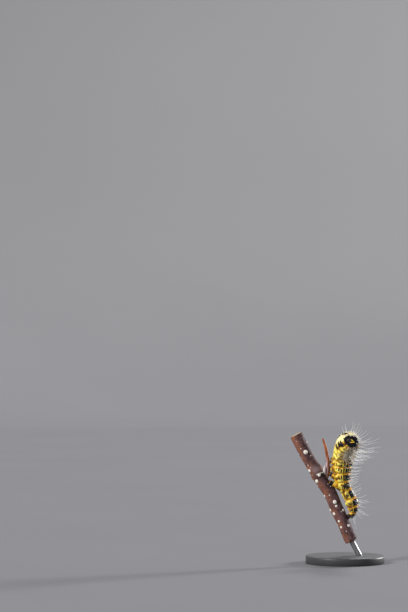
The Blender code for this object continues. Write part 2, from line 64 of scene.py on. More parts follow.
# %% [markdown]
# ## The camera
# The photo was taken from the side, level with the larva, with a long lens. A camera that far away
# keeps the larva's proportions. It looks along +Y, so the picture's plane is the model's XZ plane.

# %% Set the camera
CAMERA_DISTANCE = 0.900
CAMERA_RIGHT = -0.04653
CAMERA_HEIGHT = 0.08481
VIEW_HEIGHT = 0.20196  # what the picture's long side spans at the larva
SENSOR = 36.0

camera_data = bpy.data.cameras.new("camera")
camera_data.sensor_width = SENSOR
camera_data.lens = SENSOR * CAMERA_DISTANCE / VIEW_HEIGHT
camera_data.clip_start = 0.01
camera_data.clip_end = 20.0
camera = shown("camera", camera_data)
camera.location = (CAMERA_RIGHT, -CAMERA_DISTANCE, CAMERA_HEIGHT)
camera.rotation_euler = (math.radians(90), 0.0, 0.0)
bpy.context.scene.camera = camera
print("lens", round(camera_data.lens, 1), "mm")

# %% [markdown]
# ## Helpers for meshes
# Most pieces are tubes: rings of points round a line. A tube can be made with a curve's bevel or with
# mesh code. Mesh code is used here, because each ring can have its own shape, and because every point
# can carry values that the finishes read.

# %% Meshes from rings of points
def new_piece(name, points, faces, finish=None):
    """An object at the origin from points in millimetres, with one finish."""
    mesh = bpy.data.meshes.new(name)
    mesh.from_pydata((np.asarray(points) * MM).tolist(), [], faces)
    mesh.materials.append(finish)
    mesh.shade_smooth()
    return shown(name, mesh)


def ring_faces(count, sides, ends=True):
    """The faces of a tube of count rings, with a face over each end."""
    step = np.arange(sides)
    after = (step + 1) % sides
    faces = []
    for low in range(0, (count - 1) * sides, sides):
        high = low + sides
        faces += np.stack([low + step, low + after, high + after, high + step], axis=1).tolist()
    if ends:
        faces += [step[::-1].tolist(), ((count - 1) * sides + step).tolist()]
    return faces


def unit(vectors):
    return vectors / np.linalg.norm(vectors, axis=-1, keepdims=True)


def round_angles(sides):
    return 2 * math.pi * np.arange(sides) / sides


def across_line(line, first):
    """Two directions across each point of a line, turned as little as possible from the one before."""
    ahead = unit(np.gradient(line, axis=0))
    across = np.empty_like(line)
    one = np.array(first, float)
    for i, way in enumerate(ahead):
        one = one - way * (one @ way)
        one = one / np.linalg.norm(one)
        across[i] = one
    return across, np.cross(ahead, across)


def tube_points(line, radii, sides, first=(0.0, -1.0, 0.0), flatness=1.0):
    """Rings of points round a line, with a radius for each ring or for each point of each ring."""
    across, other = across_line(line, first)
    turn = round_angles(sides)
    radii = np.asarray(radii, float)
    if radii.ndim == 1:
        radii = radii[:, None] * np.ones(sides)
    round_it = across[:, None] * np.cos(turn)[:, None] + other[:, None] * (flatness * np.sin(turn)[:, None])
    return (line[:, None] + round_it * radii[..., None]).reshape(-1, 3)


def tube(name, line, radii, sides, finish=None, **shape):
    """A closed tube round a line, as a piece."""
    return new_piece(name, tube_points(line, radii, sides, **shape), ring_faces(len(line), sides), finish)


def smooth_line(points, steps):
    """Points along a Catmull-Rom curve through the given ones."""
    given = np.array(points, float)
    ends = np.vstack([2 * given[0] - given[1], given, 2 * given[-1] - given[-2]])
    line = []
    for a, b, c, d in zip(ends, ends[1:], ends[2:], ends[3:]):
        for t in np.linspace(0.0, 1.0, steps, endpoint=False):
            cubic = -a + 3 * b - 3 * c + d
            square = 2 * a - 5 * b + 4 * c - d
            line.append(0.5 * (2 * b + (c - a) * t + square * t**2 + cubic * t**3))
    line.append(given[-1])
    return np.array(line)


def smooth_tube(points, radii, steps):
    """A smooth line through points, its radius at each place, and how many points each place has passed."""
    line = smooth_line(points, steps)
    passed = np.linspace(0, len(points) - 1, len(line))
    return line, np.interp(passed, range(len(points)), radii), passed


def give(piece, name, values):
    """Stores a number or a vector for each point of a piece."""
    values = np.asarray(values, np.float32)
    kind, field = ("FLOAT", "value") if values.ndim == 1 else ("FLOAT_VECTOR", "vector")
    piece.data.attributes.new(name, kind, "POINT").data.foreach_set(field, values.ravel())


def drop(piece, *names):
    """Removes values that the points carried."""
    for name in names:
        piece.data.attributes.remove(piece.data.attributes[name])


def points_of(piece):
    """The points of a piece, in millimetres."""
    found = np.empty(len(piece.data.vertices) * 3)
    piece.data.vertices.foreach_get("co", found)
    return found.reshape(-1, 3) / MM


def move_points(piece, points):
    piece.data.vertices.foreach_set("co", (points * MM).astype(np.float32).ravel())
    piece.data.update()


def normals_of(piece):
    found = np.empty(len(piece.data.vertices) * 3, np.float32)
    piece.data.vertex_normals.foreach_get("vector", found)
    return found.reshape(-1, 3).astype(float)


def faces_out(piece):
    """Turns all faces of a closed piece outwards."""
    shaping = bmesh.new()
    shaping.from_mesh(piece.data)
    bmesh.ops.recalc_face_normals(shaping, faces=shaping.faces)
    shaping.to_mesh(piece.data)
    shaping.free()
    return piece


def joined(name, pieces):
    """One piece made of several."""
    with bpy.context.temp_override(active_object=pieces[0], selected_editable_objects=pieces):
        bpy.ops.object.join()
    pieces[0].name = name
    pieces[0].data.name = name
    return pieces[0]


def grain(points, size, shift=0.0):
    """Smooth noise from about -1 to 1 at each point, in waves about size millimetres long."""
    moved = np.asarray(points) / size + shift
    return np.array([noise.noise(point) for point in moved.tolist()])


def bump_at(x, middle, width):
    """A smooth bump, 1 high at its middle."""
    return np.exp(-(((x - middle) / width) ** 2))


def rise_from(x, low, high):
    """Rises smoothly from 0 at low to 1 at high. It falls where high is the smaller one."""
    share = np.clip((x - low) / (high - low), 0.0, 1.0)
    return share * share * (3 - 2 * share)

# %% [markdown]
# ## Helpers for finishes and for Geometry Nodes
# A finish is a small network of nodes that ends in the Principled BSDF. Writing each network by hand
# takes many lines, so one function adds a node and sets or links its inputs. It adds to the tree that
# was started last, which Now remembers.

# %% Node helpers
class Now:
    """The node tree that is being built, and its shader where it is a finish."""


def socket(sockets, name):
    """The socket in use that has that name or number."""
    if isinstance(name, int):
        return sockets[name]
    return next(s for s in sockets if s.name == name and s.enabled)


def add(kind, inputs=None, output=0, **settings):
    """Adds a node, sets or links its inputs, and gives back one of its outputs."""
    made = Now.tree.nodes.new(kind)
    for key, value in settings.items():
        setattr(made, key, value)
    for key, value in (inputs or {}).items():
        into = socket(made.inputs, key)
        if isinstance(value, bpy.types.NodeSocket):
            Now.tree.links.new(value, into)
        else:
            into.default_value = value
    return socket(made.outputs, output) if made.outputs else made


def maths(operation, *values):
    return add("ShaderNodeMath", dict(enumerate(values)), operation=operation)


def times(a, b):
    return maths("MULTIPLY", a, b)


def mix(share, a, b):
    """Between colour a and colour b."""
    a, b = ((*colour, 1.0) if isinstance(colour, tuple) else colour for colour in (a, b))
    return add("ShaderNodeMix", {"Factor": share, "A": a, "B": b}, output="Result", data_type="RGBA")


def painted(colour, *layers):
    """A colour with others laid over it, each given by its share and its colour."""
    for share, paint in layers:
        colour = mix(share, colour, paint)
    return colour


def smooth_step(value, low, high, start=0.0, end=1.0):
    """Goes smoothly from start to end while the value goes from low to high."""
    return add("ShaderNodeMapRange", {"Value": value, "From Min": low, "From Max": high, "To Min": start,
                                      "To Max": end}, interpolation_type="SMOOTHSTEP")


def attribute(name, output="Fac"):
    return add("ShaderNodeAttribute", output=output, attribute_name=name)


def here():
    """The place of the surface, in the model's own coordinates."""
    return add("ShaderNodeTexCoord", output="Object")


def speckle(scale, detail=2.0, roughness=0.5, place=None):
    """Noise, at the place of the surface or at another one."""
    place = here() if place is None else place
    return add("ShaderNodeTexNoise", {"Vector": place, "Scale": scale, "Detail": detail,
                                      "Roughness": roughness}, output="Fac")


def new_finish(name, roughness, **sockets):
    """Starts a finish. Values that are the same all over are set on the shader's own sockets."""
    finish = bpy.data.materials.new(name)
    finish.use_nodes = True
    Now.tree = finish.node_tree
    Now.shader = finish.node_tree.nodes["Principled BSDF"]
    for key, value in {"Roughness": roughness, **sockets}.items():
        Now.shader.inputs[key.replace("_", " ")].default_value = value
    return finish


def feed(name, value):
    Now.tree.links.new(value, Now.shader.inputs[name])


def bump(height, distance, strength):
    """Gives the finish a relief. The distance is in metres."""
    feed("Normal", add("ShaderNodeBump", {"Height": height, "Distance": distance, "Strength": strength}))


def speckled(name, roughness, specks, relief=None, over=None, **sockets):
    """A finish in specks of two colours, with relief, and one colour over it where the points say so."""
    finish = new_finish(name, roughness, **sockets)
    scale, detail, *colours = specks
    colour = mix(speckle(scale, detail), *colours)
    if over:
        mark, paint, *edge = over
        colour = mix(smooth_step(attribute(mark), *edge) if edge else attribute(mark), colour, paint)
    feed("Base Color", colour)
    if relief:
        scale, detail, distance, strength = relief
        bump(speckle(scale, detail), distance, strength)
    return finish

# %% [markdown]
# ## The larva's body line
# The body is a bent tube of thirteen segments. Its middle line runs from the tail, which hangs down, up
# the twig, and then out towards the camera. The same named sizes as in the solids are used, so the skin
# lies where the solids lie. Any point on the skin is found from two numbers: how far along the body it
# is, and its angle from the middle of the back.

# %% The sizes of the body
BODY_PATH = [
    (2.10, 0.0, 15.05),
    (2.61, 0.0, 17.00),
    (2.38, 0.0, 19.14),
    (1.72, 0.0, 21.28),
    (0.53, 0.0, 23.59),
    (-0.46, 0.0, 25.58),
    (-0.99, 0.0, 27.72),
    (-1.16, 0.0, 30.03),
    (-1.03, -0.2, 32.52),
    (-0.75, -1.2, 34.88),
    (-0.42, -3.0, 36.96),
    (-0.03, -5.0, 38.54),
    (0.42, -7.0, 39.62),
    (1.05, -8.7, 40.23),
    (1.45, -9.9, 40.49),
]
BACK_FACES = np.array([1.0, 0.0, 0.0])
FRONT_BACK_FACES = np.array([0.94, 0.0, -0.42])
TURN_STARTS = 0.55
SEGMENTS = [
    ("abdomen_10", 1.55, 0.92),
    ("abdomen_9", 2.05, 1.70),
    ("abdomen_8", 2.60, 2.35),
    ("abdomen_7", 3.10, 2.05),
    ("abdomen_6", 3.10, 2.35),
    ("abdomen_5", 2.90, 2.95),
    ("abdomen_4", 2.75, 3.35),
    ("abdomen_3", 2.70, 3.60),
    ("abdomen_2", 2.60, 3.72),
    ("abdomen_1", 2.40, 3.80),
    ("thorax_3", 2.25, 3.80),
    ("thorax_2", 2.05, 3.70),
    ("thorax_1", 1.70, 3.10),
]
NAMES = [name for name, _, _ in SEGMENTS]
NECK_RADIUS = 2.10
TAIL_TIP_RADIUS = 0.50
FOLD_DEPTH = 0.13
SIDE_ROLL = 0.07
SIDE_ROLL_AT = 118
SIDE_ROLL_WIDTH = 24
BELLY_FLATNESS = 0.08

BODY_LINE = smooth_line(BODY_PATH, 40)
BODY_AT = np.concatenate([[0.0], np.cumsum(np.linalg.norm(np.diff(BODY_LINE, axis=0), axis=1))])
BODY_LENGTH = BODY_AT[-1]
SO_FAR = np.concatenate([[0.0], np.cumsum([length for _, length, _ in SEGMENTS])])
BOUNDARIES = SO_FAR * BODY_LENGTH / SO_FAR[-1]
MIDDLES = (BOUNDARIES[:-1] + BOUNDARIES[1:]) / 2
HEIGHT_STATIONS = [0.0, *MIDDLES, BODY_LENGTH]
HEIGHTS = [TAIL_TIP_RADIUS, *(height for _, _, height in SEGMENTS), NECK_RADIUS]
print("body line", round(BODY_LENGTH, 1), "mm")

# %% Places on the body
def on_line(along):
    return np.stack([np.interp(along, BODY_AT, BODY_LINE[:, axis]) for axis in range(3)], axis=-1)


def body_frame(along):
    """The middle, the way forward, the way to the back and the way left, at distances from the tail."""
    along = np.asarray(along, float)
    forward = unit(on_line(along + 0.4) - on_line(along - 0.4))
    turn = np.clip((along / BODY_LENGTH - TURN_STARTS) / (1 - TURN_STARTS), 0.0, 1.0)[..., None]
    faces = BACK_FACES * (1 - turn) + FRONT_BACK_FACES * turn
    back = unit(faces - forward * (faces * forward).sum(-1, keepdims=True))
    return on_line(along), forward, back, np.cross(back, forward)


def in_segment(along):
    """The number of the segment, and how far through it a place is, from 0 to 1."""
    index = np.clip(np.searchsorted(BOUNDARIES, along, side="right") - 1, 0, len(SEGMENTS) - 1)
    start = BOUNDARIES[index]
    return index, np.clip((along - start) / (BOUNDARIES[index + 1] - start), 0.0, 1.0)


def skin_radius(along, angle):
    """The distance of the skin from the middle line."""
    radius = np.interp(along, HEIGHT_STATIONS, HEIGHTS)
    _, through = in_segment(along)
    from_middle = np.abs(2 * through - 1)
    share = np.clip(along / MIDDLES[0], 0.0, 1.0)
    tail = TAIL_TIP_RADIUS + (HEIGHTS[1] - TAIL_TIP_RADIUS) * np.sqrt(share * (2 - share))
    radius = np.where(along < MIDDLES[0], tail, radius)
    from_middle = np.where(along < MIDDLES[0], 0.0, from_middle)
    roll = SIDE_ROLL * (1 - from_middle**2) * bump_at(np.abs(angle), SIDE_ROLL_AT, SIDE_ROLL_WIDTH)
    belly = BELLY_FLATNESS * np.maximum(0.0, -np.cos(np.radians(angle))) ** 2
    return radius * (1 - FOLD_DEPTH * from_middle**4) * (1 + roll - belly)


def body_point(along, angle, lift=0.0):
    """Points on the skin. The angle is in degrees from the back, positive to the left."""
    centre, _, back, left = body_frame(along)
    turn = np.radians(angle)[..., None]
    out = back * np.cos(turn) + left * np.sin(turn)
    return centre + out * (skin_radius(along, angle) + lift)[..., None]


def along_and_angle(points):
    """Where points lie: along the body, round it, and how far they stand off the plain skin."""
    steps = np.linspace(0.0, BODY_LENGTH, 700)
    line = on_line(steps)
    tree = kdtree.KDTree(len(steps))
    for i, place in enumerate(line):
        tree.insert(place, i)
    tree.balance()
    nearest = np.array([tree.find(point)[1] for point in points.tolist()])
    _, forward, _, _ = body_frame(steps[nearest])
    along = steps[nearest] + ((points - line[nearest]) * forward).sum(1)
    along = np.clip(along, 0.0, BODY_LENGTH)
    centre, _, back, left = body_frame(along)
    out = points - centre
    angle = np.degrees(np.arctan2((out * left).sum(1), (out * back).sum(1)))
    return along, angle, np.linalg.norm(out, axis=1) - skin_radius(along, angle)

# %% [markdown]
# ## The twig and its side shoot, as sizes
# The feet hold on to the twig, so its sizes come before the skin. The bark itself is made further down.

# %% Places on the twig
TWIG_TOP = np.array([-15.90, 0.0, 42.50])
TWIG_FOOT = np.array([2.70, 0.0, 7.60])
TWIG_UPPER_RADIUS = 2.12
TWIG_LOWER_RADIUS = 2.14
TWIG_KNEE = 0.30
TWIG_KNEE_AT = 0.615
TWIG_LENGTH = np.linalg.norm(TWIG_TOP - TWIG_FOOT)
TWIG_WAY = (TWIG_TOP - TWIG_FOOT) / TWIG_LENGTH
TWIG_ACROSS = np.array([TWIG_WAY[2], 0.0, -TWIG_WAY[0]])
TWIG_CROOKS = [(0.0, 0.13, -0.58), (0.425, 0.085, 0.62), (0.85, 0.16, -0.42)]  # where, how long, how far
SHOOT_PATH = [
    (-6.60, 0.0, 27.80),
    (-5.90, 0.0, 29.90),
    (-5.75, 0.0, 32.40),
    (-5.85, 0.0, 35.20),
    (-6.40, 0.0, 38.10),
    (-7.26, 0.0, 40.90),
]
SHOOT_RADII = [1.00, 0.90, 0.70, 0.52, 0.46, 0.36]
SHOOT_LINE, SHOOT_RADIUS, SHOOT_STEPS = smooth_tube(SHOOT_PATH, SHOOT_RADII, 24)


def twig_radius(share):
    """The twig's radius, from its foot at 0 to its top at 1, with a knee where the side shoot grows."""
    above = 1 / (1 + np.exp(-(share - TWIG_KNEE_AT) / 0.012))
    plain = TWIG_LOWER_RADIUS + (TWIG_UPPER_RADIUS - TWIG_LOWER_RADIUS) * above
    return plain + TWIG_KNEE * bump_at(share, TWIG_KNEE_AT, 0.022)


def twig_middle(share):
    """The middle of the slightly crooked twig, from its foot at 0 to its top at 1."""
    share = np.asarray(share, float)
    bend = sum(far * bump_at(share, place, width) for place, width, far in TWIG_CROOKS)
    return TWIG_FOOT + share[..., None] * TWIG_LENGTH * TWIG_WAY + bend[..., None] * TWIG_ACROSS


def pushed_off(points, middle, reach, beside=True):
    """Points that lie beside the wood and nearer to its middle than reach, moved out to it."""
    off = points - middle
    distance = np.linalg.norm(off, axis=1)
    inside = (distance < reach) & beside
    return np.where(inside[:, None], middle + off * (reach / distance)[:, None], points)


def out_of_wood(points, skin=0.03):
    """Points moved out of the twig and the side shoot, so that soft feet lie on the bark."""
    share = (points - TWIG_FOOT) @ TWIG_WAY / TWIG_LENGTH
    moved = pushed_off(points, twig_middle(share), twig_radius(share) + skin, (share > 0) & (share < 1))
    nearest = np.linalg.norm(moved[:, None] - SHOOT_LINE, axis=2).argmin(1)
    return pushed_off(moved, SHOOT_LINE[nearest], SHOOT_RADIUS[nearest] + skin)

# %% [markdown]
# ## The skin
# The skin is one soft bag: thirteen swellings with folds between them, five pairs of fleshy prolegs and
# a raised socket round each true leg. It could be one tube with legs pushed through it, but then a hard
# line would show at each root. Here tube and limbs are melted together by a voxel remesh, as a
# modeller would knead clay, and the small folds and wrinkles are pressed in afterwards.

# %% The plain form: trunk, prolegs and leg sockets
PROLEGS = [
    ("3", "abdomen_3", 1.0, (-4.80, -1.45, 33.60)),
    ("4", "abdomen_4", 1.0, (-5.15, -1.50, 31.35)),
    ("5", "abdomen_5", 1.0, (-5.00, -1.65, 29.50)),
    ("6", "abdomen_6", 1.0, (-5.00, -1.72, 26.75)),
    ("anal", "abdomen_10", 0.8, (1.02, -1.50, 15.26)),
]
PROLEG_BASE_RADIUS = 1.05
PROLEG_FOOT_RADIUS = 0.68
PROLEG_ROOT_AT = 140
PROLEG_SUNK = 0.9
SOLE_DEPTH = 0.22
LEG_LENGTH = 1.9
LEG_RADIUS = 0.43
LEG_ROOT_AT = 140
LEG_AHEAD = {1: 0.0, 2: 0.6, 3: 1.0}
LEG_SUNK = 0.6
SIDES = ((1, "left"), (-1, "right"))
TRUNK_RINGS = 330
TRUNK_SIDES = 96
LIMB_SIDES = 24
SOCKET_SIDES = 20


def trunk_rings():
    """Rings of the trunk, with a round tail end and a narrow end that goes into the head."""
    along = np.linspace(0.0, BODY_LENGTH, TRUNK_RINGS)
    angle = np.linspace(-180, 180, TRUNK_SIDES, endpoint=False)
    rings = body_point(*np.meshgrid(along, angle, indexing="ij"))
    (tail, neck), (tail_way, neck_way), _, _ = body_frame(np.array([0.0, BODY_LENGTH]))
    behind = [tail + (rings[0] - tail) * share - tail_way * back
              for share, back in ((0.45, 0.34), (0.78, 0.24), (0.94, 0.12))]
    ahead = [neck + (rings[-1] - neck) * share + neck_way * far for share, far in ((0.9, 0.4), (0.7, 0.7))]
    return np.concatenate([behind, rings, ahead])


def proleg_line(segment, size, left_foot, side):
    """The middle line and the radii of one proleg, from its root in the body to its sole."""
    along = MIDDLES[NAMES.index(segment)]
    root = body_point(np.array(along), np.array(side * PROLEG_ROOT_AT), -PROLEG_SUNK * size)
    foot = np.array(left_foot) * (1, side, 1)
    outwards = np.array([0.0, -side * size, 0.0])
    knee = root + (foot - root) * 0.55 + outwards * 0.25
    ankle = root + (foot - root) * 0.82 + outwards * 0.10
    sole = foot + unit(foot - ankle) * SOLE_DEPTH
    base = PROLEG_BASE_RADIUS * size
    radii = [base, base * 0.92, *(PROLEG_FOOT_RADIUS * share for share in (0.94, 1.08, 0.75))]
    return smooth_tube([root, knee, ankle, foot, sole], radii, 8)[:2]


def leg_place(number):
    """How far along the body a true leg has its root."""
    return np.array(MIDDLES[NAMES.index(f"thorax_{number}")] + LEG_AHEAD[number])


def leg_socket(number, side):
    """The raised skin round the root of a true leg, as a line and its radii."""
    angle = np.array(side * LEG_ROOT_AT)
    root, top = (body_point(leg_place(number), angle, lift) for lift in (-0.8, 0.30))
    return np.linspace(root, top, 6), [0.95, 0.92, 0.88, 0.80, 0.66, 0.50]


LIMBS = [(f"proleg_{label}_{side_name}", side, *proleg_line(*sizes, side))
         for label, *sizes in PROLEGS for side, side_name in SIDES]
SOCKETS = [(number, *leg_socket(number, side)) for number in (1, 2, 3) for side, _ in SIDES]

rings = trunk_rings()
parts = [new_piece("trunk", rings.reshape(-1, 3), ring_faces(len(rings), TRUNK_SIDES))]
for name, _, line, radii in LIMBS:
    folds = 1 + 0.045 * np.cos(np.linspace(0, 5 * math.pi, len(line)))
    parts.append(tube(name, line, radii * folds, LIMB_SIDES))
parts += [tube("socket", line, radii, SOCKET_SIDES) for _, line, radii in SOCKETS]
print(len(parts), "closed forms for the skin")

# %% Melt the forms into one skin
VOXEL = 0.12
SOFTENING = 6


def worked_out(piece):
    """The mesh that a piece's modifiers make of it."""
    return bpy.data.meshes.new_from_object(piece.evaluated_get(bpy.context.evaluated_depsgraph_get()))


def melted(name, pieces):
    """One closed surface round all the pieces, softened where they meet. Remeshed in millimetres."""
    piece = joined(name, pieces)
    piece.data.transform(Matrix.Scale(1 / MM, 4))
    remesh = piece.modifiers.new("remesh", "REMESH")
    remesh.mode = "VOXEL"
    remesh.voxel_size = VOXEL
    soften = piece.modifiers.new("soften", "SMOOTH")
    soften.factor = 0.5
    soften.iterations = SOFTENING
    result = worked_out(piece)
    piece.modifiers.clear()
    piece.data = result
    piece.data.transform(Matrix.Scale(MM, 4))
    piece.data.shade_smooth()
    return piece


skin = melted("larva_skin", parts)
print("skin", len(skin.data.polygons), "faces")

# %% [markdown]
# ## Folds, wrinkles and markings
# Painted shade darkens the hollows and the back; painted highlights lighten the low lumps and the front's
# underside.
# Every point of the melted skin knows where it lies on the body, so folds and markings can follow rules
# in those two numbers. Real larvae of this kind are yellow with rows of short black dashes that run
# lengthwise. An orange band without dashes marks each border between segments. Low on the sides the
# dashes end. The prolegs carry a black plate outside, and the last two segments and the tail plate are
# mostly black.
#
# The edge of the black is kept as a distance in millimetres, positive inside a mark. The finish turns
# it into a crisp edge, which a painted mesh of this fineness could not give.

# %% Where each point of the skin lies
points = points_of(skin)
along, angle, off = along_and_angle(points)
share_of_body = along / BODY_LENGTH
index, through = in_segment(along)
length = (BOUNDARIES[1:] - BOUNDARIES[:-1])[index]
degree = skin_radius(along, angle) * math.pi / 180  # millimetres for each degree round the body
border = np.minimum(through, 1 - through) * length
border = np.where((index == 0) & (through < 0.5), 9.0, border)  # the tail's tip has no fold
side_angle = np.abs(angle)
limb = rise_from(off, 0.10, 0.42) * rise_from(side_angle, 95, 112)

# %% Press in the folds and wrinkles
WRINKLES = (0.34, 0.64)  # where the two cross wrinkles of a segment lie
waver = grain(points, 1.6, 3.0)
relief = -0.11 * bump_at(border, 0.0, 0.15)
for share in WRINKLES:
    from_wrinkle = (through - share) * length + 0.10 * waver
    relief -= 0.050 * bump_at(from_wrinkle, 0.0, 0.11) * (0.45 + 0.55 * rise_from(side_angle, 130, 60))
from_side_fold = (side_angle - 98 - 5 * waver) * degree
relief -= 0.085 * bump_at(from_side_fold, 0.0, 0.17)
relief += 0.155 * grain(points, 0.95, 11.0) * rise_from(side_angle, 60, 100)
relief += 0.020 * grain(points, 0.30, 23.0)
relief *= 1 - 0.75 * limb
points = out_of_wood(points + normals_of(skin) * relief[:, None])
move_points(skin, points)
print("folds from", round(relief.min(), 2), "to", round(relief.max(), 2), "mm")

# %% The black dashes
DASHES = [(0, 7.2), (17, 5.4), (33, 7.0), (49, 5.9), (64, 6.4), (79, 5.0)]  # angle and half width
BOLDNESS = [1.0, 1.1, 1.1, 1.15, 1.15, *[1.1] * 8]  # for each segment
CORNER = 0.22  # how far a dash's ends are rounded
dash_random = random.Random(SEED)
sway = 1.6 * grain(points, 1.1, 31.0)
ink = np.full(len(points), -1.0)
for segment in range(1, len(SEGMENTS)):
    for line_angle, half_width in DASHES:
        for side in (1, -1) if line_angle else (1,):
            width = half_width * BOLDNESS[segment] * dash_random.uniform(0.75, 1.2)
            start = dash_random.uniform(0.07, 0.16)
            end = dash_random.uniform(0.84, 0.94)
            lean = dash_random.uniform(-2.5, 2.5)
            middle = side * line_angle + lean * (through - 0.5) + sway
            across = (np.abs(angle - middle) - width) * degree
            beyond = np.maximum(start - through, through - end) * length
            over = np.hypot(np.maximum(across + CORNER, 0), np.maximum(beyond + CORNER, 0)) - CORNER
            inside = np.minimum(np.maximum(across, beyond), 0)
            mark = -np.where(over > -CORNER, over, inside)
            ink = np.where(index == segment, np.maximum(ink, mark), ink)

# %% The large spots, the tail plate and the small marks low on the sides
# Segment, angle, place in the segment, and half the size both ways
SPOTS = [
    ("abdomen_6", 92, 0.52, 7, 0.27),
    ("abdomen_7", 42, 0.50, 17, 0.37),
    ("abdomen_7", 70, 0.48, 14, 0.33),
    ("abdomen_8", 40, 0.50, 19, 0.37),
    ("abdomen_8", 72, 0.48, 15, 0.33),
    ("abdomen_9", 0, 0.50, 12, 0.34),
    ("abdomen_9", 32, 0.50, 18, 0.38),
    ("abdomen_9", 68, 0.48, 17, 0.35),
]
# Angle, place in even and in odd segments, half the size both ways, and what share of it the front has
LOW_MARKS = [
    (108, 0.50, 0.50, 7.5, 0.20, 0.62),
    (94, 0.40, 0.60, 4.0, 0.27, 1.0),
    (122, 0.62, 0.42, 5.0, 0.20, 0.55),
    (136, 0.40, 0.60, 4.2, 0.22, 0.60),
]
FRONT_MARKS_FROM = 4  # the first segment of the front


def oval(segment, spot_angle, share, half_angle, half_share):
    """The distance inside an oval mark on both sides of a segment."""
    across = (side_angle - spot_angle) / half_angle
    lengthwise = (through - share) / half_share
    inside = (1 - np.hypot(across, lengthwise)) * half_share * length
    return np.where(index == NAMES.index(segment), inside, -1.0)


for spot in SPOTS:
    ink = np.maximum(ink, oval(*spot))
tail_plate = np.minimum((92 - side_angle) * degree, (0.93 - through) * length)
ink = np.where(index == 0, np.maximum(ink, tail_plate), ink)
for segment in range(1, len(SEGMENTS)):
    for mark_angle, even, odd, half_angle, half_share, in_front in LOW_MARKS:
        place = odd if segment % 2 else even
        size = in_front if segment >= FRONT_MARKS_FROM else 1.0
        ink = np.maximum(ink, oval(NAMES[segment], mark_angle, place, half_angle * size, half_share * size))

# %% The black plates on the prolegs and round the true legs
SOCKET_PLATES = {1: 0.90, 2: 0.62, 3: 0.58}  # the reach of the plate round each pair of legs

limb_ink = np.full(len(points), -1.0)
sole = np.zeros(len(points))
for name, side, line, radii in LIMBS:
    apart = np.linalg.norm(points[:, None] - line, axis=2)
    nearest = apart.argmin(1)
    near = (apart.min(1) < radii[nearest] * 1.25 + 0.15) & (limb > 0.05)
    down = nearest / (len(line) - 1)
    run = np.linalg.norm(line[-1] - line[0])
    outward = (points - line[nearest])[:, 1] * -side / radii[nearest]
    plate = np.minimum(np.minimum((down - 0.40) * run, (0.86 - down) * run), (outward + 0.35) * 0.6)
    if "anal" in name:
        plate = np.minimum((down - 0.25) * run, 0.5)
    limb_ink = np.where(near, np.maximum(limb_ink, plate), limb_ink)
    sole = np.where(near, np.maximum(sole, rise_from(down, 0.84, 0.94)), sole)
for number, line, _ in SOCKETS:
    limb_ink = np.maximum(limb_ink, SOCKET_PLATES[number] - np.linalg.norm(points - line[-1], axis=1))
ink = np.maximum(np.where(limb > 0.3, -1.0, ink), limb_ink)

# %% The pale lines, the orange bands, painted highlights on the lumps and painted shade in the hollows
PALE_LINES = (8.5, 25, 41, 56.5, 71.5, 88)  # angles between the rows of dashes

in_middle = rise_from(border, 0.2, 0.5)
pale = 0.95 * in_middle * np.max([bump_at(side_angle + sway, at, 1.8) for at in PALE_LINES], axis=0)
# Painted shade: the back between the pale lines is darkened, as if it lay away from the light.
painted_back_shade = rise_from(side_angle, 84, 62) * (1 - pale) * in_middle
lump = grain(points, 0.95, 11.0)
low_side = rise_from(side_angle, 80, 100)
# Painted highlight: the raised lumps low on the sides turn pale yellow, as if lit. The pale lines above are
# the larva's own.
pale = np.maximum(pale, rise_from(lump, -0.08, 0.26) * low_side)
tail_glow = rise_from(share_of_body, 0.24, 0.14) * low_side
tail_glow *= rise_from(grain(points, 1.3, 71.0), -0.3, 0.3)
pale *= 1 - 0.7 * tail_glow
round_body = angle % 360  # 180 under the belly, and above it on the right side
# Painted highlight: the underside of the front, between the legs, turns cream, as if lit from above.
throat_highlight = rise_from(round_body, 152, 170) * rise_from(round_body, 285, 262)
throat_highlight *= rise_from(share_of_body, 0.78, 0.88)
wool = rise_from(share_of_body, 0.66, 0.92) * rise_from(side_angle, 20, 38) * rise_from(side_angle, 106, 86)
band = bump_at(border, 0.0, 0.42) * rise_from(grain(points, 0.8, 53.0), -0.75, 0.05)
# Painted shade: the hollows between the lumps low on the sides, and the fold along each side, are darkened to
# brown.
painted_shade = rise_from(-lump, 0.02, 0.40) * low_side * (1 - throat_highlight)
painted_shade = np.maximum(painted_shade, bump_at(from_side_fold, 0.0, 0.22) * 0.45)
# The hollows turn orange too: painted shade. The orange bands at the borders, the collar and the prolegs are
# the larva's own colour.
warm = np.clip(np.maximum(band, 1.1 * painted_shade), 0.0, 1.0)
warm = np.maximum(warm, 0.8 * tail_glow)
warm = np.where(index == len(SEGMENTS) - 1, np.maximum(warm, rise_from(through, 0.45, 0.9)), warm)
warm = np.maximum(warm, 0.55 * limb)
pale *= 1 - 0.6 * limb
# The back's painted shade goes into the same brown as the hollows' painted shade.
painted_shade = np.maximum(painted_shade, 0.75 * painted_back_shade)

MARKS = dict(ink=ink, pale=pale, warm=warm, painted_shade=painted_shade, cream=throat_highlight, wool=wool, sole=sole)
for name, values in MARKS.items():
    give(skin, name, values)
print("black share", round(float((ink > 0).mean()), 2))

# %% [markdown]
# ## The skin's finish
# The skin is soft and slightly waxy: yellow, with light going a little way into it, and the black marks
# are smoother and shine more. Noise in the model's coordinates breaks up the flat yellow, and moves
# the edge of the black in and out a little, as ink does on cloth.

# %% Make the skin's finish
YELLOW = (0.92, 0.64, 0.024)
DEEP_YELLOW = (0.62, 0.31, 0.008)
ORANGE = (0.80, 0.34, 0.008)
PALE_YELLOW = (1.0, 0.90, 0.17)
CREAM = (1.0, 0.90, 0.52)
SHADE_BROWN = (0.17, 0.075, 0.008)
WOOL_BROWN = (0.66, 0.52, 0.28)
BLACK = (0.010, 0.009, 0.012)
SOLE_BROWN = (0.30, 0.13, 0.04)


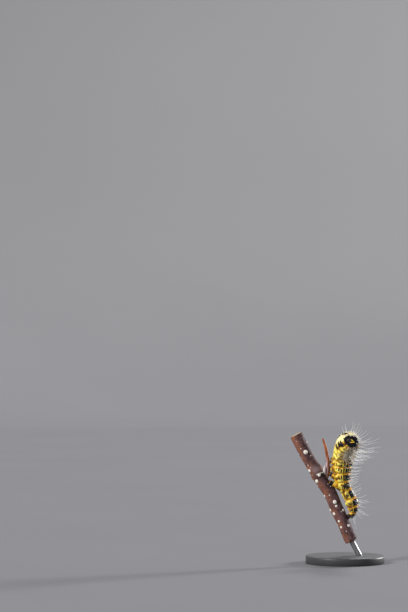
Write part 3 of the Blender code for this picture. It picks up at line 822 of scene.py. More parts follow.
def marked_colour():
    """The skin's colour and how black it is, from the values that the points carry. The colour holds painted
    shade and painted highlights.
    """
    colour = painted(
        mix(smooth_step(speckle(900), 0.38, 0.66), YELLOW, DEEP_YELLOW),
        # orange bands, collar and prolegs, and painted shade in the hollows
        (attribute("warm"), ORANGE),
        # the pale lines, and a painted highlight on the lumps
        (attribute("pale"), PALE_YELLOW),
        # painted shade in the hollows, in the side fold and on the back
        (times(attribute("painted_shade"), 0.92), SHADE_BROWN),
        # painted highlight under the front
        (times(attribute("cream"), 0.8), CREAM),
        (attribute("sole"), SOLE_BROWN),
        (times(attribute("wool"), 0.55), WOOL_BROWN),
    )
    ragged = maths("MULTIPLY_ADD", speckle(3500, 1.0), 0.16, -0.08)
    black = smooth_step(maths("ADD", attribute("ink"), ragged), -0.04, 0.04)
    black = times(black, maths("MULTIPLY_ADD", attribute("wool"), -0.15, 1.0))
    return mix(black, colour, BLACK), black


skin_finish = new_finish("larva skin", 0.5, Subsurface_Weight=0.15, Subsurface_Scale=0.0005,
                         Subsurface_Radius=(1.0, 0.45, 0.12), Specular_IOR_Level=0.35)
colour, black = marked_colour()
feed("Base Color", colour)
feed("Roughness", smooth_step(black, 0.0, 1.0, 0.52, 0.27))
bump(speckle(5200, 3.0, 0.6), 0.00005, 0.8)
skin.data.materials.clear()
skin.data.materials.append(skin_finish)

# %% [markdown]
# ## The coat
# Long white hairs stand out all over the back and sides, longest on the front end, where they fan out
# past the head. Between them lies short down, which glows as a pale rim against the light, and behind
# the head a dense, curly wool. Particle hair would be quick, but it isn't mesh and would be lost in
# other programs. So one Geometry Nodes tree scatters roots over the skin, grows a bent line from each,
# and wraps it in a thin tapered tube.
#
# The skin says which way hairs point and how long they are at each place, and the tree adds chance.

# %% Tell the skin which way its hairs point and how long they are
HAIR_STATIONS = [0.0, 0.08, 0.20, 0.40, 0.55, 0.70, 0.82, 1.0]
HAIR_LENGTHS = [4.4, 4.6, 4.2, 3.2, 3.8, 5.2, 6.8, 8.0]
HAIR_LEANS = [-1.1, -0.75, -0.20, 0.0, 0.0, 0.0, 0.05, 0.30]
HAIR_LIFTS = [0.0, 0.0, 0.20, 0.10, 0.14, 0.24, 0.30, 0.32]  # how far they turn upwards
HAIR_LEVELS = [0.0, 0.0, 0.0, 0.20, 0.50, 0.60, 0.60, 0.55]  # how far their own weight brings them level


def on_body(values):
    """What the stations' values come to at each point of the skin."""
    return np.interp(share_of_body, HAIR_STATIONS, values)


centre, forward, _, _ = body_frame(along)
aim = unit(points - centre) + forward * on_body(HAIR_LEANS)[:, None]
aim = unit(aim + np.outer(on_body(HAIR_LIFTS), (0.0, 0.0, 1.0)))
aim = unit(aim * (1 - limb[:, None]) + normals_of(skin) * limb[:, None])
steep = aim[:, 2].copy()
aim[:, 2] += (0.07 - steep) * on_body(HAIR_LEVELS) * np.interp(steep, [0.50, 0.90], [1.0, 0.20])
reach = on_body(HAIR_LENGTHS) * np.interp(side_angle, [0, 70, 130], [1.0, 0.92, 0.62])
reach *= np.interp(steep, [0.45, 0.75, 0.92], [1.0, 0.72, 0.62])
crowd = np.interp(side_angle, [0, 40, 75, 110, 135], [1.0, 1.0, 0.45, 0.35, 0.0])
crowd = np.maximum(crowd, rise_from(share_of_body, 0.10, 0.03) * rise_from(side_angle, 150, 125))
give(skin, "aim", unit(aim))
give(skin, "reach", reach * MM * (1 - 0.8 * limb))
give(skin, "long_coat", crowd * (1 - limb) * rise_from(border, 0.10, 0.25))
give(skin, "down_coat", rise_from(side_angle, 168, 150) * (1 - 0.5 * limb) * (1 - sole))
give(skin, "unwrap", np.stack([share_of_body, (angle + 180) / 360, 0 * along], axis=1))

# %% The tree that grows hairs
def new_tree(name, **inputs):
    """Starts a Geometry Nodes tree. Each input is given by its kind, or as a number by its usual value."""
    Now.tree = bpy.data.node_groups.new(name, "GeometryNodeTree")
    for label, value in inputs.items():
        kind = {float: "Float", int: "Int"}.get(type(value), value)
        made = Now.tree.interface.new_socket(label, in_out="INPUT", socket_type="NodeSocket" + kind)
        if kind != value:
            made.default_value = value
    Now.tree.interface.new_socket("Geometry", in_out="OUTPUT", socket_type="NodeSocketGeometry")
    return Now.tree.nodes.new("NodeGroupInput").outputs


def end_tree(geometry, finish):
    """Ends a tree in plain mesh with one finish."""
    geometry = add("GeometryNodeRealizeInstances", {"Geometry": geometry})
    geometry = add("GeometryNodeSetMaterial", {"Geometry": geometry, "Material": finish})
    add("NodeGroupOutput", {"Geometry": geometry})
    return Now.tree


def named(name, kind="FLOAT"):
    return add("GeometryNodeInputNamedAttribute", {"Name": name}, output="Attribute", data_type=kind)


def direction(name):
    return named(name, "FLOAT_VECTOR")


def store(geometry, name, value, kind="FLOAT", domain="POINT"):
    return add("GeometryNodeStoreNamedAttribute", {"Geometry": geometry, "Name": name, "Value": value},
               data_type=kind, domain=domain)


def plus(a, b):
    return add("ShaderNodeVectorMath", {0: a, 1: b}, operation="ADD")


def scaled(vector, scale):
    return add("ShaderNodeVectorMath", {0: vector, "Scale": scale}, operation="SCALE")


def vector(**parts):
    return add("ShaderNodeCombineXYZ", parts)


def chance(kind, low, high, seed):
    return add("FunctionNodeRandomValue", {"Min": low, "Max": high, "Seed": seed}, output="Value",
               data_type=kind)


def along_curve():
    return add("GeometryNodeSplineParameter", output="Factor")


def wrapped(curve, corners, thickness):
    """A tube of that thickness round each curve. Its corners know how far round it they are."""
    outline = add("GeometryNodeCurvePrimitiveCircle", {"Resolution": corners, "Radius": 1.0})
    outline = store(outline, "spin", along_curve())
    return add("GeometryNodeCurveToMesh",
               {"Curve": curve, "Profile Curve": outline, "Scale": thickness, "Fill Caps": True})


def hair_tree():
    """Scatters roots over a skin, and grows a thin, bent and tapered tube from each."""
    given = new_tree("hairs on a skin", Skin="Geometry", Where="String", Spacing=0.0008, Shortest=0.7,
                     Longest=1.05, Thickness=0.00009, Straying=0.12, Bend=0.26, Sag=0.05, Wave=0.03, Steps=8,
                     Seed=1, Finish="Material")
    crowd = maths("DIVIDE", 2.0, times(given["Spacing"], given["Spacing"]))
    roots = add("GeometryNodeDistributePointsOnFaces", {
        "Mesh": given["Skin"], "Distance Min": given["Spacing"], "Density Max": crowd,
        "Density Factor": named(given["Where"]), "Seed": given["Seed"]}, distribute_method="POISSON")
    roots = store(roots, "root", add("GeometryNodeInputPosition"), "FLOAT_VECTOR")
    size = chance("FLOAT", given["Shortest"], given["Longest"], given["Seed"])
    stray, bend = (chance("FLOAT_VECTOR", (-1.0, -1.0, -1.0), (1.0, 1.0, 1.0), seed) for seed in (5, 9))
    aim = plus(direction("aim"), scaled(stray, given["Straying"]))
    aim = add("ShaderNodeVectorMath", {0: aim}, operation="NORMALIZE")
    roots = store(roots, "size", times(size, named("reach")))
    roots = store(roots, "way", aim, "FLOAT_VECTOR")
    roots = store(roots, "bend", bend, "FLOAT_VECTOR")

    straight = add("GeometryNodeCurvePrimitiveLine", {"Start": (0.0, 0.0, 0.0), "End": (0.0, 0.0, 1.0)})
    straight = add("GeometryNodeResampleCurve", {"Curve": straight, "Count": given["Steps"]})
    hairs = add("GeometryNodeInstanceOnPoints", {"Points": roots, "Instance": straight})
    hairs = add("GeometryNodeRealizeInstances", {"Geometry": hairs})
    rise = along_curve()
    hairs = store(hairs, "rise", rise)
    bowed = times(times(rise, rise), given["Bend"])
    waved = times(maths("SINE", times(rise, 5.6)), given["Wave"])
    dip = times(maths("SINE", times(rise, math.pi)), given["Sag"])
    curl = plus(scaled(direction("bend"), maths("ADD", bowed, waved)), vector(Z=times(dip, -1.0)))
    off = scaled(plus(scaled(direction("way"), rise), curl), named("size"))
    off = plus(off, scaled(direction("way"), -0.00008))  # the root is sunk into the skin
    hairs = add("GeometryNodeSetPosition", {"Geometry": hairs, "Position": plus(direction("root"), off)})

    taper = maths("POWER", maths("SUBTRACT", 1.06, rise), 0.65)
    hairs = wrapped(hairs, 3, times(times(given["Thickness"], 0.5), taper))
    patch = scaled(vector(X=named("rise"), Y=named("spin")), 0.003)
    hairs = store(hairs, "OFBake", plus(direction("unwrap"), patch), "FLOAT2", "CORNER")
    return end_tree(add("GeometryNodeSetShadeSmooth", {"Geometry": hairs}), given["Finish"])


def made_by(tree, name, source, **inputs):
    """Runs a tree on a source piece and gives back its result as a plain mesh."""
    step = source.modifiers.new("make", "NODES")
    step.node_group = tree
    found = {item.name: item.identifier for item in tree.interface.items_tree if item.in_out == "INPUT"}
    for label, value in inputs.items():
        step[found[label]] = value
    mesh = worked_out(source)
    source.modifiers.remove(step)
    mesh.name = name
    return shown(name, mesh)

# %% [markdown]
# ### The hairs' finishes
# A hair is clear white with a soft shine. The short down takes on the colour of the skin that it grows
# from, so that skin and coat carry the same markings, and the same painted shade and highlights. The
# wool is cream and pale brown, in tufts.

# %% Make the hairs' finishes
hair_finish = new_finish("white hair", 0.38, Specular_IOR_Level=0.55, Subsurface_Weight=1.0,
                         Subsurface_Scale=0.00025, Subsurface_Radius=(1.0, 1.0, 1.0))
shade = smooth_step(speckle(700, 1.0), 0.3, 0.7)
feed("Base Color", mix(shade, (0.95, 0.95, 0.92), (0.82, 0.82, 0.78)))

down_finish = new_finish("down", 0.5, Specular_IOR_Level=0.4)
feed("Base Color", mix(0.10, marked_colour()[0], (0.95, 0.93, 0.80)))

wool_finish = new_finish("wool", 0.6, Specular_IOR_Level=0.3, Subsurface_Weight=0.8,
                         Subsurface_Scale=0.0003, Subsurface_Radius=(1.0, 0.95, 0.80))
tuft = mix(smooth_step(speckle(1300), 0.36, 0.54), (0.58, 0.46, 0.25), (1.0, 0.95, 0.70))
feed("Base Color", mix(0.92, marked_colour()[0], tuft))

# %% Grow the coat
grow = hair_tree()
coat = []


def grown(name, source, finish, **sizes):
    """Grows one layer of hairs, and drops the values that only the growing needed."""
    piece = made_by(grow, name, source, Finish=finish, **sizes)
    kept = {"OFBake", "position", "material_index", "sharp_face", *MARKS}
    names = [item.name for item in piece.data.attributes]
    drop(piece, *(extra for extra in names if extra not in kept and not extra.startswith(".")))
    print(name, sum(len(face.vertices) - 2 for face in piece.data.polygons), "triangles")
    coat.append(piece)


grown("larva_hairs_long", skin, hair_finish, Where="long_coat", Spacing=0.00090, Shortest=0.80, Longest=1.06,
      Thickness=0.000092, Straying=0.06, Bend=0.12, Sag=0.08, Wave=0.05, Steps=12, Seed=3)
grown("larva_hairs_fine", skin, hair_finish, Where="long_coat", Spacing=0.00074, Shortest=0.14, Longest=0.50,
      Thickness=0.000045, Straying=0.16, Bend=0.25, Steps=8, Seed=17)
grown("larva_down", skin, down_finish, Where="down_coat", Spacing=0.00026, Shortest=0.12, Longest=0.22,
      Thickness=0.000024, Straying=0.30, Bend=0.3, Steps=4, Seed=29)
drop(skin, "reach", "aim")
give(skin, "reach", np.full(len(points), 1.05 * MM))
give(skin, "aim", unit(normals_of(skin) - 0.5 * forward))
grown("larva_wool", skin, wool_finish, Where="wool", Spacing=0.00017, Shortest=0.45, Longest=1.0,
      Thickness=0.00005, Straying=0.45, Bend=0.55, Steps=5, Seed=53)
drop(skin, "aim", "reach", "long_coat", "down_coat", "unwrap")

# %% [markdown]
# ## Breathing holes and hooks
# A larva breathes through a row of small oval holes, one on each side of nine segments. Each sits in
# one of the low black marks. The soles of the prolegs carry rows of tiny hooks that grip the bark. Both
# repeat, so Geometry Nodes set one shape on each of a set of points that carry their own directions.

# %% The tree that sets ovals with a slit
def set_on_points(points, shape, size):
    """Copies of a shape, its Z along each point's way out and its Y along the point's length."""
    turned = add("FunctionNodeAxesToRotation", {
        "Primary Axis": direction("out"), "Secondary Axis": direction("lengthwise"),
    }, primary_axis="Z", secondary_axis="Y")
    placed = add("GeometryNodeInstanceOnPoints", {
        "Points": add("GeometryNodeMeshToPoints", {"Mesh": points}), "Instance": shape, "Rotation": turned,
        "Scale": size})
    return add("GeometryNodeSetShadeSmooth", {"Geometry": placed})


def oval_tree():
    """Ovals with a slit, one on each point, turned to the point's own directions."""
    given = new_tree("ovals with a slit", Points="Geometry", Width=0.0003, Length=0.00045, Height=0.0002,
                     Slit=0.30, Finish="Material")
    ball = add("GeometryNodeMeshIcoSphere", {"Radius": 1.0, "Subdivisions": 3}, output="Mesh")
    split = add("ShaderNodeSeparateXYZ", {0: add("GeometryNodeInputPosition")}).node.outputs
    near_slit = maths("POWER", times(split[0], 3.4), 2.0)
    near_slit = maths("EXPONENT", times(near_slit, -1.0))
    off = vector(Z=times(times(near_slit, given["Slit"]), -1.0))
    upper = add("FunctionNodeCompare", {"A": split[2], "B": 0.0}, output="Result", data_type="FLOAT",
                operation="GREATER_THAN")
    ball = add("GeometryNodeSetPosition", {"Geometry": ball, "Selection": upper, "Offset": off})
    ball = store(ball, "slit", near_slit)
    size = scaled(vector(X=given["Width"], Y=given["Length"], Z=given["Height"]), named("size"))
    return end_tree(set_on_points(given["Points"], ball, size), given["Finish"])


def set_out(name, tree, finish, places, out, lengthwise, size, **sizes):
    """Sets a tree's shape on each place, by the place's directions and size. Sizes are in millimetres."""
    seeds = new_piece("seeds", places, [])
    give(seeds, "out", out)
    give(seeds, "lengthwise", lengthwise)
    give(seeds, "size", size)
    sizes = {label: value * MM for label, value in sizes.items()}
    piece = made_by(tree, name, seeds, Finish=finish, **sizes)
    bpy.data.objects.remove(seeds)
    print(len(places), name)
    return piece

# %% Set the breathing holes
HOLE_SEGMENTS = ["thorax_1", *(f"abdomen_{number}" for number in range(1, 9))]
HOLES_AT = 108.0  # degrees from the middle of the back

hole_finish = speckled("breathing hole", 0.3, (9000, 2.0, (0.020, 0.014, 0.012), (0.060, 0.035, 0.020)),
                       (16000, 2.0, 0.00001, 0.6), ("slit", (0.42, 0.24, 0.08), 0.35, 0.9), Coat_Weight=0.4)
skin_points = points_of(skin)
found = []
for name in HOLE_SEGMENTS:
    for side, _ in SIDES:
        wanted = body_point(np.array(MIDDLES[NAMES.index(name)]), np.array(side * HOLES_AT))
        found.append(np.linalg.norm(skin_points - wanted, axis=1).argmin())
hole_out = normals_of(skin)[found]
holes = set_out("larva_breathing_holes", oval_tree(), hole_finish, skin_points[found], hole_out,
                np.cross(hole_out, body_frame(along[found])[1]), np.ones(len(found)),
                Width=0.085, Length=0.145, Height=0.06)

# %% Set the hooks on the soles
HOOKS_PER_SOLE = 15
HOOK_LENGTH = 0.30


def hook_tree():
    """Bent, pointed hooks, one on each point."""
    given = new_tree("hooks on a sole", Points="Geometry", Length=0.0003, Thickness=0.14, Finish="Material")
    bent = add("GeometryNodeCurveQuadraticBezier", {
        "Resolution": 6, "Start": (0.0, 0.0, -0.2), "Middle": (0.0, 0.0, 0.9), "End": (0.0, 0.75, 0.75)})
    hook = wrapped(bent, 5, times(maths("SUBTRACT", 1.05, along_curve()), given["Thickness"]))
    size = times(named("size"), given["Length"])
    return end_tree(set_on_points(given["Points"], hook, vector(X=size, Y=size, Z=size)), given["Finish"])


hook_finish = speckled("hook", 0.25, (3000, 1.0, (0.10, 0.035, 0.012), (0.20, 0.08, 0.025)), Coat_Weight=0.3)
hook_at, hook_out, hook_along = [], [], []
for _, side, line, radii in LIMBS:
    down = unit(line[-1] - line[-6])
    inwards = np.array([0.0, -side, 0.0])
    inwards = unit(inwards - down * (inwards @ down))
    beside = np.cross(down, inwards)
    for turn in np.radians(np.linspace(-80, 80, HOOKS_PER_SOLE)):
        outwards = inwards * math.cos(turn) + beside * math.sin(turn)
        hook_at.append(line[-3] + outwards * radii[-3] * 0.90)
        hook_out.append(unit(down * 0.8 + outwards))
        hook_along.append(-outwards + 0.6 * down)
hooks = set_out("larva_hooks", hook_tree(), hook_finish, out_of_wood(np.array(hook_at), 0.05), hook_out,
                hook_along, np.resize([1.0, 0.7], len(hook_at)), Length=HOOK_LENGTH)

# %% [markdown]
# ## The head
# The head is a hard, glossy black capsule of two rounded lobes. A groove parts them on top, and forks
# on the face into an upside-down V, whose arms are yellow. Below the fork lie a small sunken triangle,
# a smooth band and the lip. Six tiny lenses sit low on each side. The capsule is a sphere pushed into
# shape by a formula, which keeps the same form as the solid and lets grooves be as fine as the mesh.

# %% The head's own measures: to the right, to the front and up
HEAD_CENTRE = np.array([1.76, -11.40, 40.60])
HEAD_FORWARD = unit(np.array([-0.10, -0.98, 0.10]))
HEAD_TOP_FACES = np.array([0.94, 0.0, -0.34])
HEAD_UP = unit(HEAD_TOP_FACES - HEAD_FORWARD * (HEAD_TOP_FACES @ HEAD_FORWARD))
HEAD_AXES = np.stack([np.cross(HEAD_FORWARD, HEAD_UP), HEAD_FORWARD, HEAD_UP])
HEAD_HALF_WIDTH = 2.00
HEAD_HALF_HEIGHT = 2.05
HEAD_FRONT_DEPTH = 1.55
HEAD_BACK_DEPTH = 2.05
HEAD_JAW_NARROWING = 0.16
HEAD_GROOVE_DEPTH = 0.12
HEAD_GROOVE_WIDTH = 0.17
HEAD_LOBES = 0.03
FORK_AT = 0.80  # how high the fork of the V lies
ARM_END = (0.46, -0.36)  # where its arms end, to the side and up
ARM_HALF_WIDTH = 0.118
BAND_AT = -1.12  # how low the smooth band over the lip lies


def on_head(places):
    """From the head's own measures to the model's."""
    return HEAD_CENTRE + np.asarray(places, float) @ HEAD_AXES


def capsule(ways):
    """The plain capsule's surface in the head's own measures, in the given directions."""
    x, y, z = unit(np.asarray(ways, float)).T
    above, below = np.maximum(0.0, z), np.maximum(0.0, -z)
    groove = HEAD_GROOVE_DEPTH * bump_at(x, 0.0, HEAD_GROOVE_WIDTH) * np.minimum(1.0, above * 1.6)
    lobes = HEAD_LOBES * bump_at(np.abs(x), 0.45, 0.25) * above
    half_width = HEAD_HALF_WIDTH * (1 - HEAD_JAW_NARROWING * below**2)
    depth = np.where(y > 0, HEAD_FRONT_DEPTH, HEAD_BACK_DEPTH) * (1 - 0.1 * np.maximum(0.0, y) * below)
    plain = np.stack([x * half_width, y * depth, z * HEAD_HALF_HEIGHT], axis=1)
    return plain * (1 + lobes - groove)[:, None]


def from_arm(x, z):
    """The distance of a place on the face from the nearer arm of the V."""
    start = np.array([0.0, FORK_AT])
    way = np.array(ARM_END) - start
    place = np.stack([np.abs(x), z], axis=1) - start
    share = np.clip(place @ way / (way @ way), 0.0, 1.0)
    return np.linalg.norm(place - share[:, None] * way, axis=1)


def ball_piece(name, subdivisions, finish):
    """A sphere of triangles, one unit in radius, as a piece."""
    shaping = bmesh.new()
    bmesh.ops.create_icosphere(shaping, subdivisions=subdivisions, radius=MM)
    mesh = bpy.data.meshes.new(name)
    shaping.to_mesh(mesh)
    shaping.free()
    mesh.materials.append(finish)
    mesh.shade_smooth()
    return shown(name, mesh)

# %% Make the capsule with its grooves
head_finish = new_finish("black head capsule", 0.2, Specular_IOR_Level=0.24, Coat_Weight=0.10,
                         Coat_Roughness=0.08, Specular_Tint=(0.72, 0.84, 1.0, 1.0))
head = ball_piece("larva_head", 6, head_finish)
places = capsule(points_of(head))
x, y, z = places.T
beside = -np.abs(x)
arm = from_arm(x, z)
on_face = rise_from(y, 0.1, 0.5)
inside_fork = rise_from((FORK_AT - z) * ARM_END[0] / (FORK_AT - ARM_END[1]) + beside, 0.0, 0.25)
inside_fork *= rise_from(z, -1.05, -0.80)
head_relief = -0.035 * bump_at(arm, 0.19, 0.035) * on_face
head_relief -= 0.060 * inside_fork * on_face
head_relief -= 0.075 * bump_at(x, 0.0, 0.05) * rise_from(z, FORK_AT - 0.1, FORK_AT + 0.15)
head_relief += 0.070 * bump_at(z, BAND_AT, 0.14) * rise_from(beside, -1.05, -0.75) * on_face
head_relief += 0.022 * grain(places, 0.55, 5.0) + 0.007 * grain(places, 0.13, 9.0)
places += unit(places) * head_relief[:, None]
move_points(head, on_head(places))
give(head, "arm", np.where((y > 0) & (z < FORK_AT + 0.12), ARM_HALF_WIDTH - arm, -1.0))
give(head, "band", bump_at(z, BAND_AT, 0.16) * rise_from(beside, -0.95, -0.7) * on_face)

# %% Finish the capsule: black, with the yellow V
dark = mix(speckle(1400), (0.003, 0.003, 0.005), (0.010, 0.008, 0.010))
dark = mix(attribute("band"), dark, (0.060, 0.034, 0.020))
wobble = maths("MULTIPLY_ADD", speckle(4200, 1.0), 0.08, -0.04)
yellow = smooth_step(maths("ADD", attribute("arm"), wobble), -0.02, 0.03)
feed("Base Color", mix(yellow, dark, (0.96, 0.62, 0.035)))
feed("Roughness", add("ShaderNodeMapRange", {"Value": speckle(2600, 3.0), "From Min": 0.3, "From Max": 0.7,
                                             "To Min": 0.11, "To Max": 0.24}))
bump(speckle(9000), 0.00002, 0.7)
print("head", len(head.data.polygons), "faces")

# %% [markdown]
# The capsule carries a few short bristles, each from its own pore. The face inside the V and the lips
# stay bare. The tree that grew the coat grows them too, from values that the capsule carries.

# %% Grow the head's short bristles
bare = on_face * np.maximum(inside_fork, rise_from(-z, 0.40, 0.80))
round_it = np.arctan2(x, y) / (2 * math.pi) + 0.5
height = (z + HEAD_HALF_HEIGHT) / (2 * HEAD_HALF_HEIGHT)
give(head, "aim", unit(normals_of(head) + 0.30 * HEAD_FORWARD))
give(head, "reach", np.interp(y, [-0.6, 0.8], [1.5, 0.8]) * MM)
give(head, "head_coat", rise_from(y, -0.9, -0.4) * (1 - bare))
give(head, "unwrap", np.stack([round_it, height, 0 * height], axis=1))
grown("larva_head_bristles", head, hair_finish, Where="head_coat", Spacing=0.00100, Shortest=0.55,
      Longest=1.0, Thickness=0.000034, Straying=0.15, Bend=0.2, Steps=7, Seed=41)
drop(head, "aim", "reach", "head_coat", "unwrap")

# %% Make the small eyes
EYE_RADIUS = 0.135
EYE_CIRCLE = np.array([0.90, 0.42, -0.42])
EYE_CIRCLE_RADIUS = 0.20

eye_finish = speckled("eye lens", 0.06, (6000, 1.0, (0.012, 0.008, 0.006), (0.050, 0.022, 0.010)),
                      Coat_Weight=1.0, Coat_Roughness=0.03)
lenses = []
for side in (-1, 1):
    for i in range(6):
        turn = math.radians(-70 + 38 * i)
        spread = EYE_CIRCLE_RADIUS if i < 5 else 0.0
        way = EYE_CIRCLE * (side, 1, 1) + (0.0, spread * math.cos(turn), spread * math.sin(turn))
        lens = ball_piece("lens", 3, eye_finish)
        move_points(lens, on_head(capsule([way]) * 0.985 + points_of(lens) * EYE_RADIUS))
        lenses.append(lens)
eyes = joined("larva_eyes", lenses)
print("eyes", len(lenses))

# %% [markdown]
# ### The mouthparts and the feelers
# The upper lip is a notched plate, the jaws are thick and toothed, and below them lie the small lower
# lip, with the tube that silk comes from, and its feelers. The antennae are short and have three joints.
# Each is a tube along a short line. Chitin is dark brown to black, with paler skin between the joints.

# %% Make the mouthparts
# Each line holds a place in the head's measures and the radius there
LABRUM = [(0.0, 1.20, -1.00, 0.62), (0.0, 1.45, -1.35, 0.66), (0.0, 1.42, -1.62, 0.42)]
LABIUM = [(0.0, 0.15, -1.90, 0.62), (0.0, 0.45, -2.35, 0.55), (0.0, 0.75, -2.75, 0.30),
          (0.0, 0.95, -2.95, 0.14)]
MANDIBLE = [(0.95, 0.70, -1.55, 0.50), (0.72, 1.15, -2.00, 0.44), (0.50, 1.35, -2.35, 0.32),
            (0.34, 1.42, -2.50, 0.18)]
ANTENNA = [(1.25, 0.80, -1.00, 0.30), (1.42, 1.60, -1.35, 0.27), (1.52, 1.95, -1.52, 0.25),
           (1.60, 2.30, -1.72, 0.12)]
PALP = [(0.55, 0.55, -1.95, 0.24), (0.62, 0.85, -2.30, 0.18), (0.66, 1.00, -2.62, 0.07)]
JAW_SIDES = 30
TEETH = 5


def chitin(name, dark, light, roughness):
    """A hard finish, dark on the joints' plates and lighter where the points carry joint skin."""
    specks = (2500, 2.0, dark, tuple(2.2 * part for part in dark))
    return speckled(name, roughness, specks, (8000, 2.0, 0.00002, 0.6), ("joint", light),
                    Specular_IOR_Level=0.55, Coat_Weight=0.25, Coat_Roughness=0.12)


jaw_finish = chitin("jaw", (0.008, 0.006, 0.006), (0.14, 0.06, 0.02), 0.22)
lip_finish = chitin("lip and feelers", (0.014, 0.009, 0.007), (0.32, 0.21, 0.09), 0.32)
leg_finish = chitin("leg", (0.010, 0.009, 0.010), (0.30, 0.17, 0.05), 0.25)


def head_tube(name, shape, finish, side=1, sides=24, flatness=1.0, joints=()):
    """A rounded tube in the head's measures, mirrored where side is -1, with necks at its joints."""
    shape = np.array(shape) * (side, 1, 1, 1)
    line, radii, steps = smooth_tube(shape[:, :3], shape[:, 3], 10)
    necks = sum((bump_at(steps, joint, 0.07) for joint in joints), np.zeros(len(steps)))
    radii = radii * (1 - 0.24 * necks)
    tip = unit(line[-1] - line[-2]) * radii[-1]
    line = np.vstack([line, line[-1] + tip * 0.55, line[-1] + tip * 0.8])
    radii = [*radii, radii[-1] * 0.75, radii[-1] * 0.3]
    points = on_head(tube_points(line, radii, sides, (1.0, 0.0, 0.0), flatness))
    piece = new_piece(name, points, ring_faces(len(line), sides), finish)
    give(piece, "joint", np.repeat([*necks, 0.0, 0.0], sides))
    return piece


labrum = head_tube("larva_labrum", LABRUM, lip_finish, flatness=0.42)
places = (points_of(labrum) - HEAD_CENTRE) @ HEAD_AXES.T
notch = bump_at(places[:, 0], 0.0, 0.16) * rise_from(places[:, 2], -1.35, -1.80)
move_points(labrum, points_of(labrum) + np.outer(0.26 * notch, HEAD_UP))
labium = joined("larva_labium", [
    head_tube("labium", LABIUM, lip_finish, joints=(1.0, 2.0)),
    *(head_tube("palp", PALP, lip_finish, side, 14, joints=(0.6, 1.3)) for side in (1, -1)),
])
mouth = {"labrum": faces_out(labrum), "labium": faces_out(labium)}
for side, side_name in ((-1, "left"), (1, "right")):
    jaw = head_tube(f"larva_mandible_{side_name}", MANDIBLE, jaw_finish, side, JAW_SIDES, 0.80)
    places = points_of(jaw).reshape(-1, JAW_SIDES, 3)
    teeth = np.outer(rise_from(np.arange(len(places)), 24, 32), np.cos(TEETH * round_angles(JAW_SIDES)))
    places += 0.11 * teeth[..., None] * unit(HEAD_FORWARD - HEAD_UP)
    move_points(jaw, places)
    mouth[f"mandible_{side_name}"] = faces_out(jaw)
    feeler = head_tube(f"larva_antenna_{side_name}", ANTENNA, lip_finish, side, 18, joints=(0.35, 1.0, 2.0))
    mouth[f"antenna_{side_name}"] = faces_out(feeler)
print(len(mouth), "mouthparts and feelers")

# %% [markdown]
# ## The true legs
# Six short black legs sit behind the head. Each has hard plates with soft skin at the joints, and ends
# in one curved claw. They are folded forwards, as the larva holds nothing with them.

# %% Make the legs
# Away from the back, out to the side, forwards, and the radius, all as shares
LEG_JOINTS = np.array([
    (0.00, 0.00, 0.00, 1.00),
    (0.32, 0.12, 0.00, 1.00),
    (0.36, 0.13, 0.01, 0.84),
    (0.56, 0.10, 0.10, 0.86),
    (0.60, 0.08, 0.13, 0.64),
    (0.72, -0.04, 0.28, 0.52),
    (0.78, -0.16, 0.44, 0.22),
])
LEG_SIDES = 20


def leg_piece(number, side, side_name):
    along = leg_place(number)
    _, forward, back, left = body_frame(along)
    aside = left * side
    root = body_point(along, np.array(side * LEG_ROOT_AT), -LEG_SUNK)
    down, out, ahead, thick = LEG_JOINTS.T
    line = root + LEG_LENGTH * (np.outer(out, aside) - np.outer(down, back) + np.outer(ahead, forward))
    line, radii, steps = smooth_tube(line, thick, 7)
    necks = bump_at(steps, 1.5, 0.22) + bump_at(steps, 3.5, 0.22) + 0.7 * bump_at(steps, 5.1, 0.12)
    radii = LEG_RADIUS * radii * (1 - 0.17 * necks) * (1 + 0.05 * np.cos(steps * 2 * math.pi))
    leg = tube(f"larva_leg_{number}_{side_name}", line, radii, LEG_SIDES, leg_finish)
    give(leg, "joint", np.repeat(np.minimum(necks, 1), LEG_SIDES))
    tip = unit(line[-1] - line[-3])
    hook = line[-1] + np.outer([-0.12, 0.05, 0.20, 0.32], tip) - np.outer([0, 0.01, 0.06, 0.17], aside)
    claw = tube("claw", hook, [0.10, 0.085, 0.055, 0.012], 10, leg_finish)
    give(claw, "joint", np.zeros(len(claw.data.vertices)))
    return faces_out(joined(leg.name, [leg, claw]))


legs = {f"leg_{number}_{side_name}": leg_piece(number, side, side_name)
        for number in (1, 2, 3) for side, side_name in SIDES}
print(len(legs), "legs")

# %% [markdown]
# ## The twig
# The twig is a young shoot of a birch-like tree. Its purple-brown bark is finely ridged lengthwise and
# dotted with pale, raised, corky pores. Ring scars at the knee show where a bud once opened. Both ends
# are cut, and show the bark's thickness, the wood's rings and the pith. The bark is one tube of fine
# rings with its relief pushed in. The tree that set the breathing holes sets the pores too.

# %% Make the twig's bark and cut ends
TWIG_SIDES = 132
TWIG_RINGS = 400
LIE_SHORTENED = 0.22  # lengths along the twig, in the map that the bark's noise reads
CORES = (0.965, 0.93, 0.90, 0.75, 0.60, 0.45, 0.30, 0.16, 0.05)  # rings on a cut end, as shares
SCARS = (-0.9, -0.35, 0.15, 0.6, 1.0)  # below and above the knee


def facing(*way):
    """How far each point of the bark faces a direction."""
    return np.tile(round_twig @ unit(np.array(way)), TWIG_RINGS)


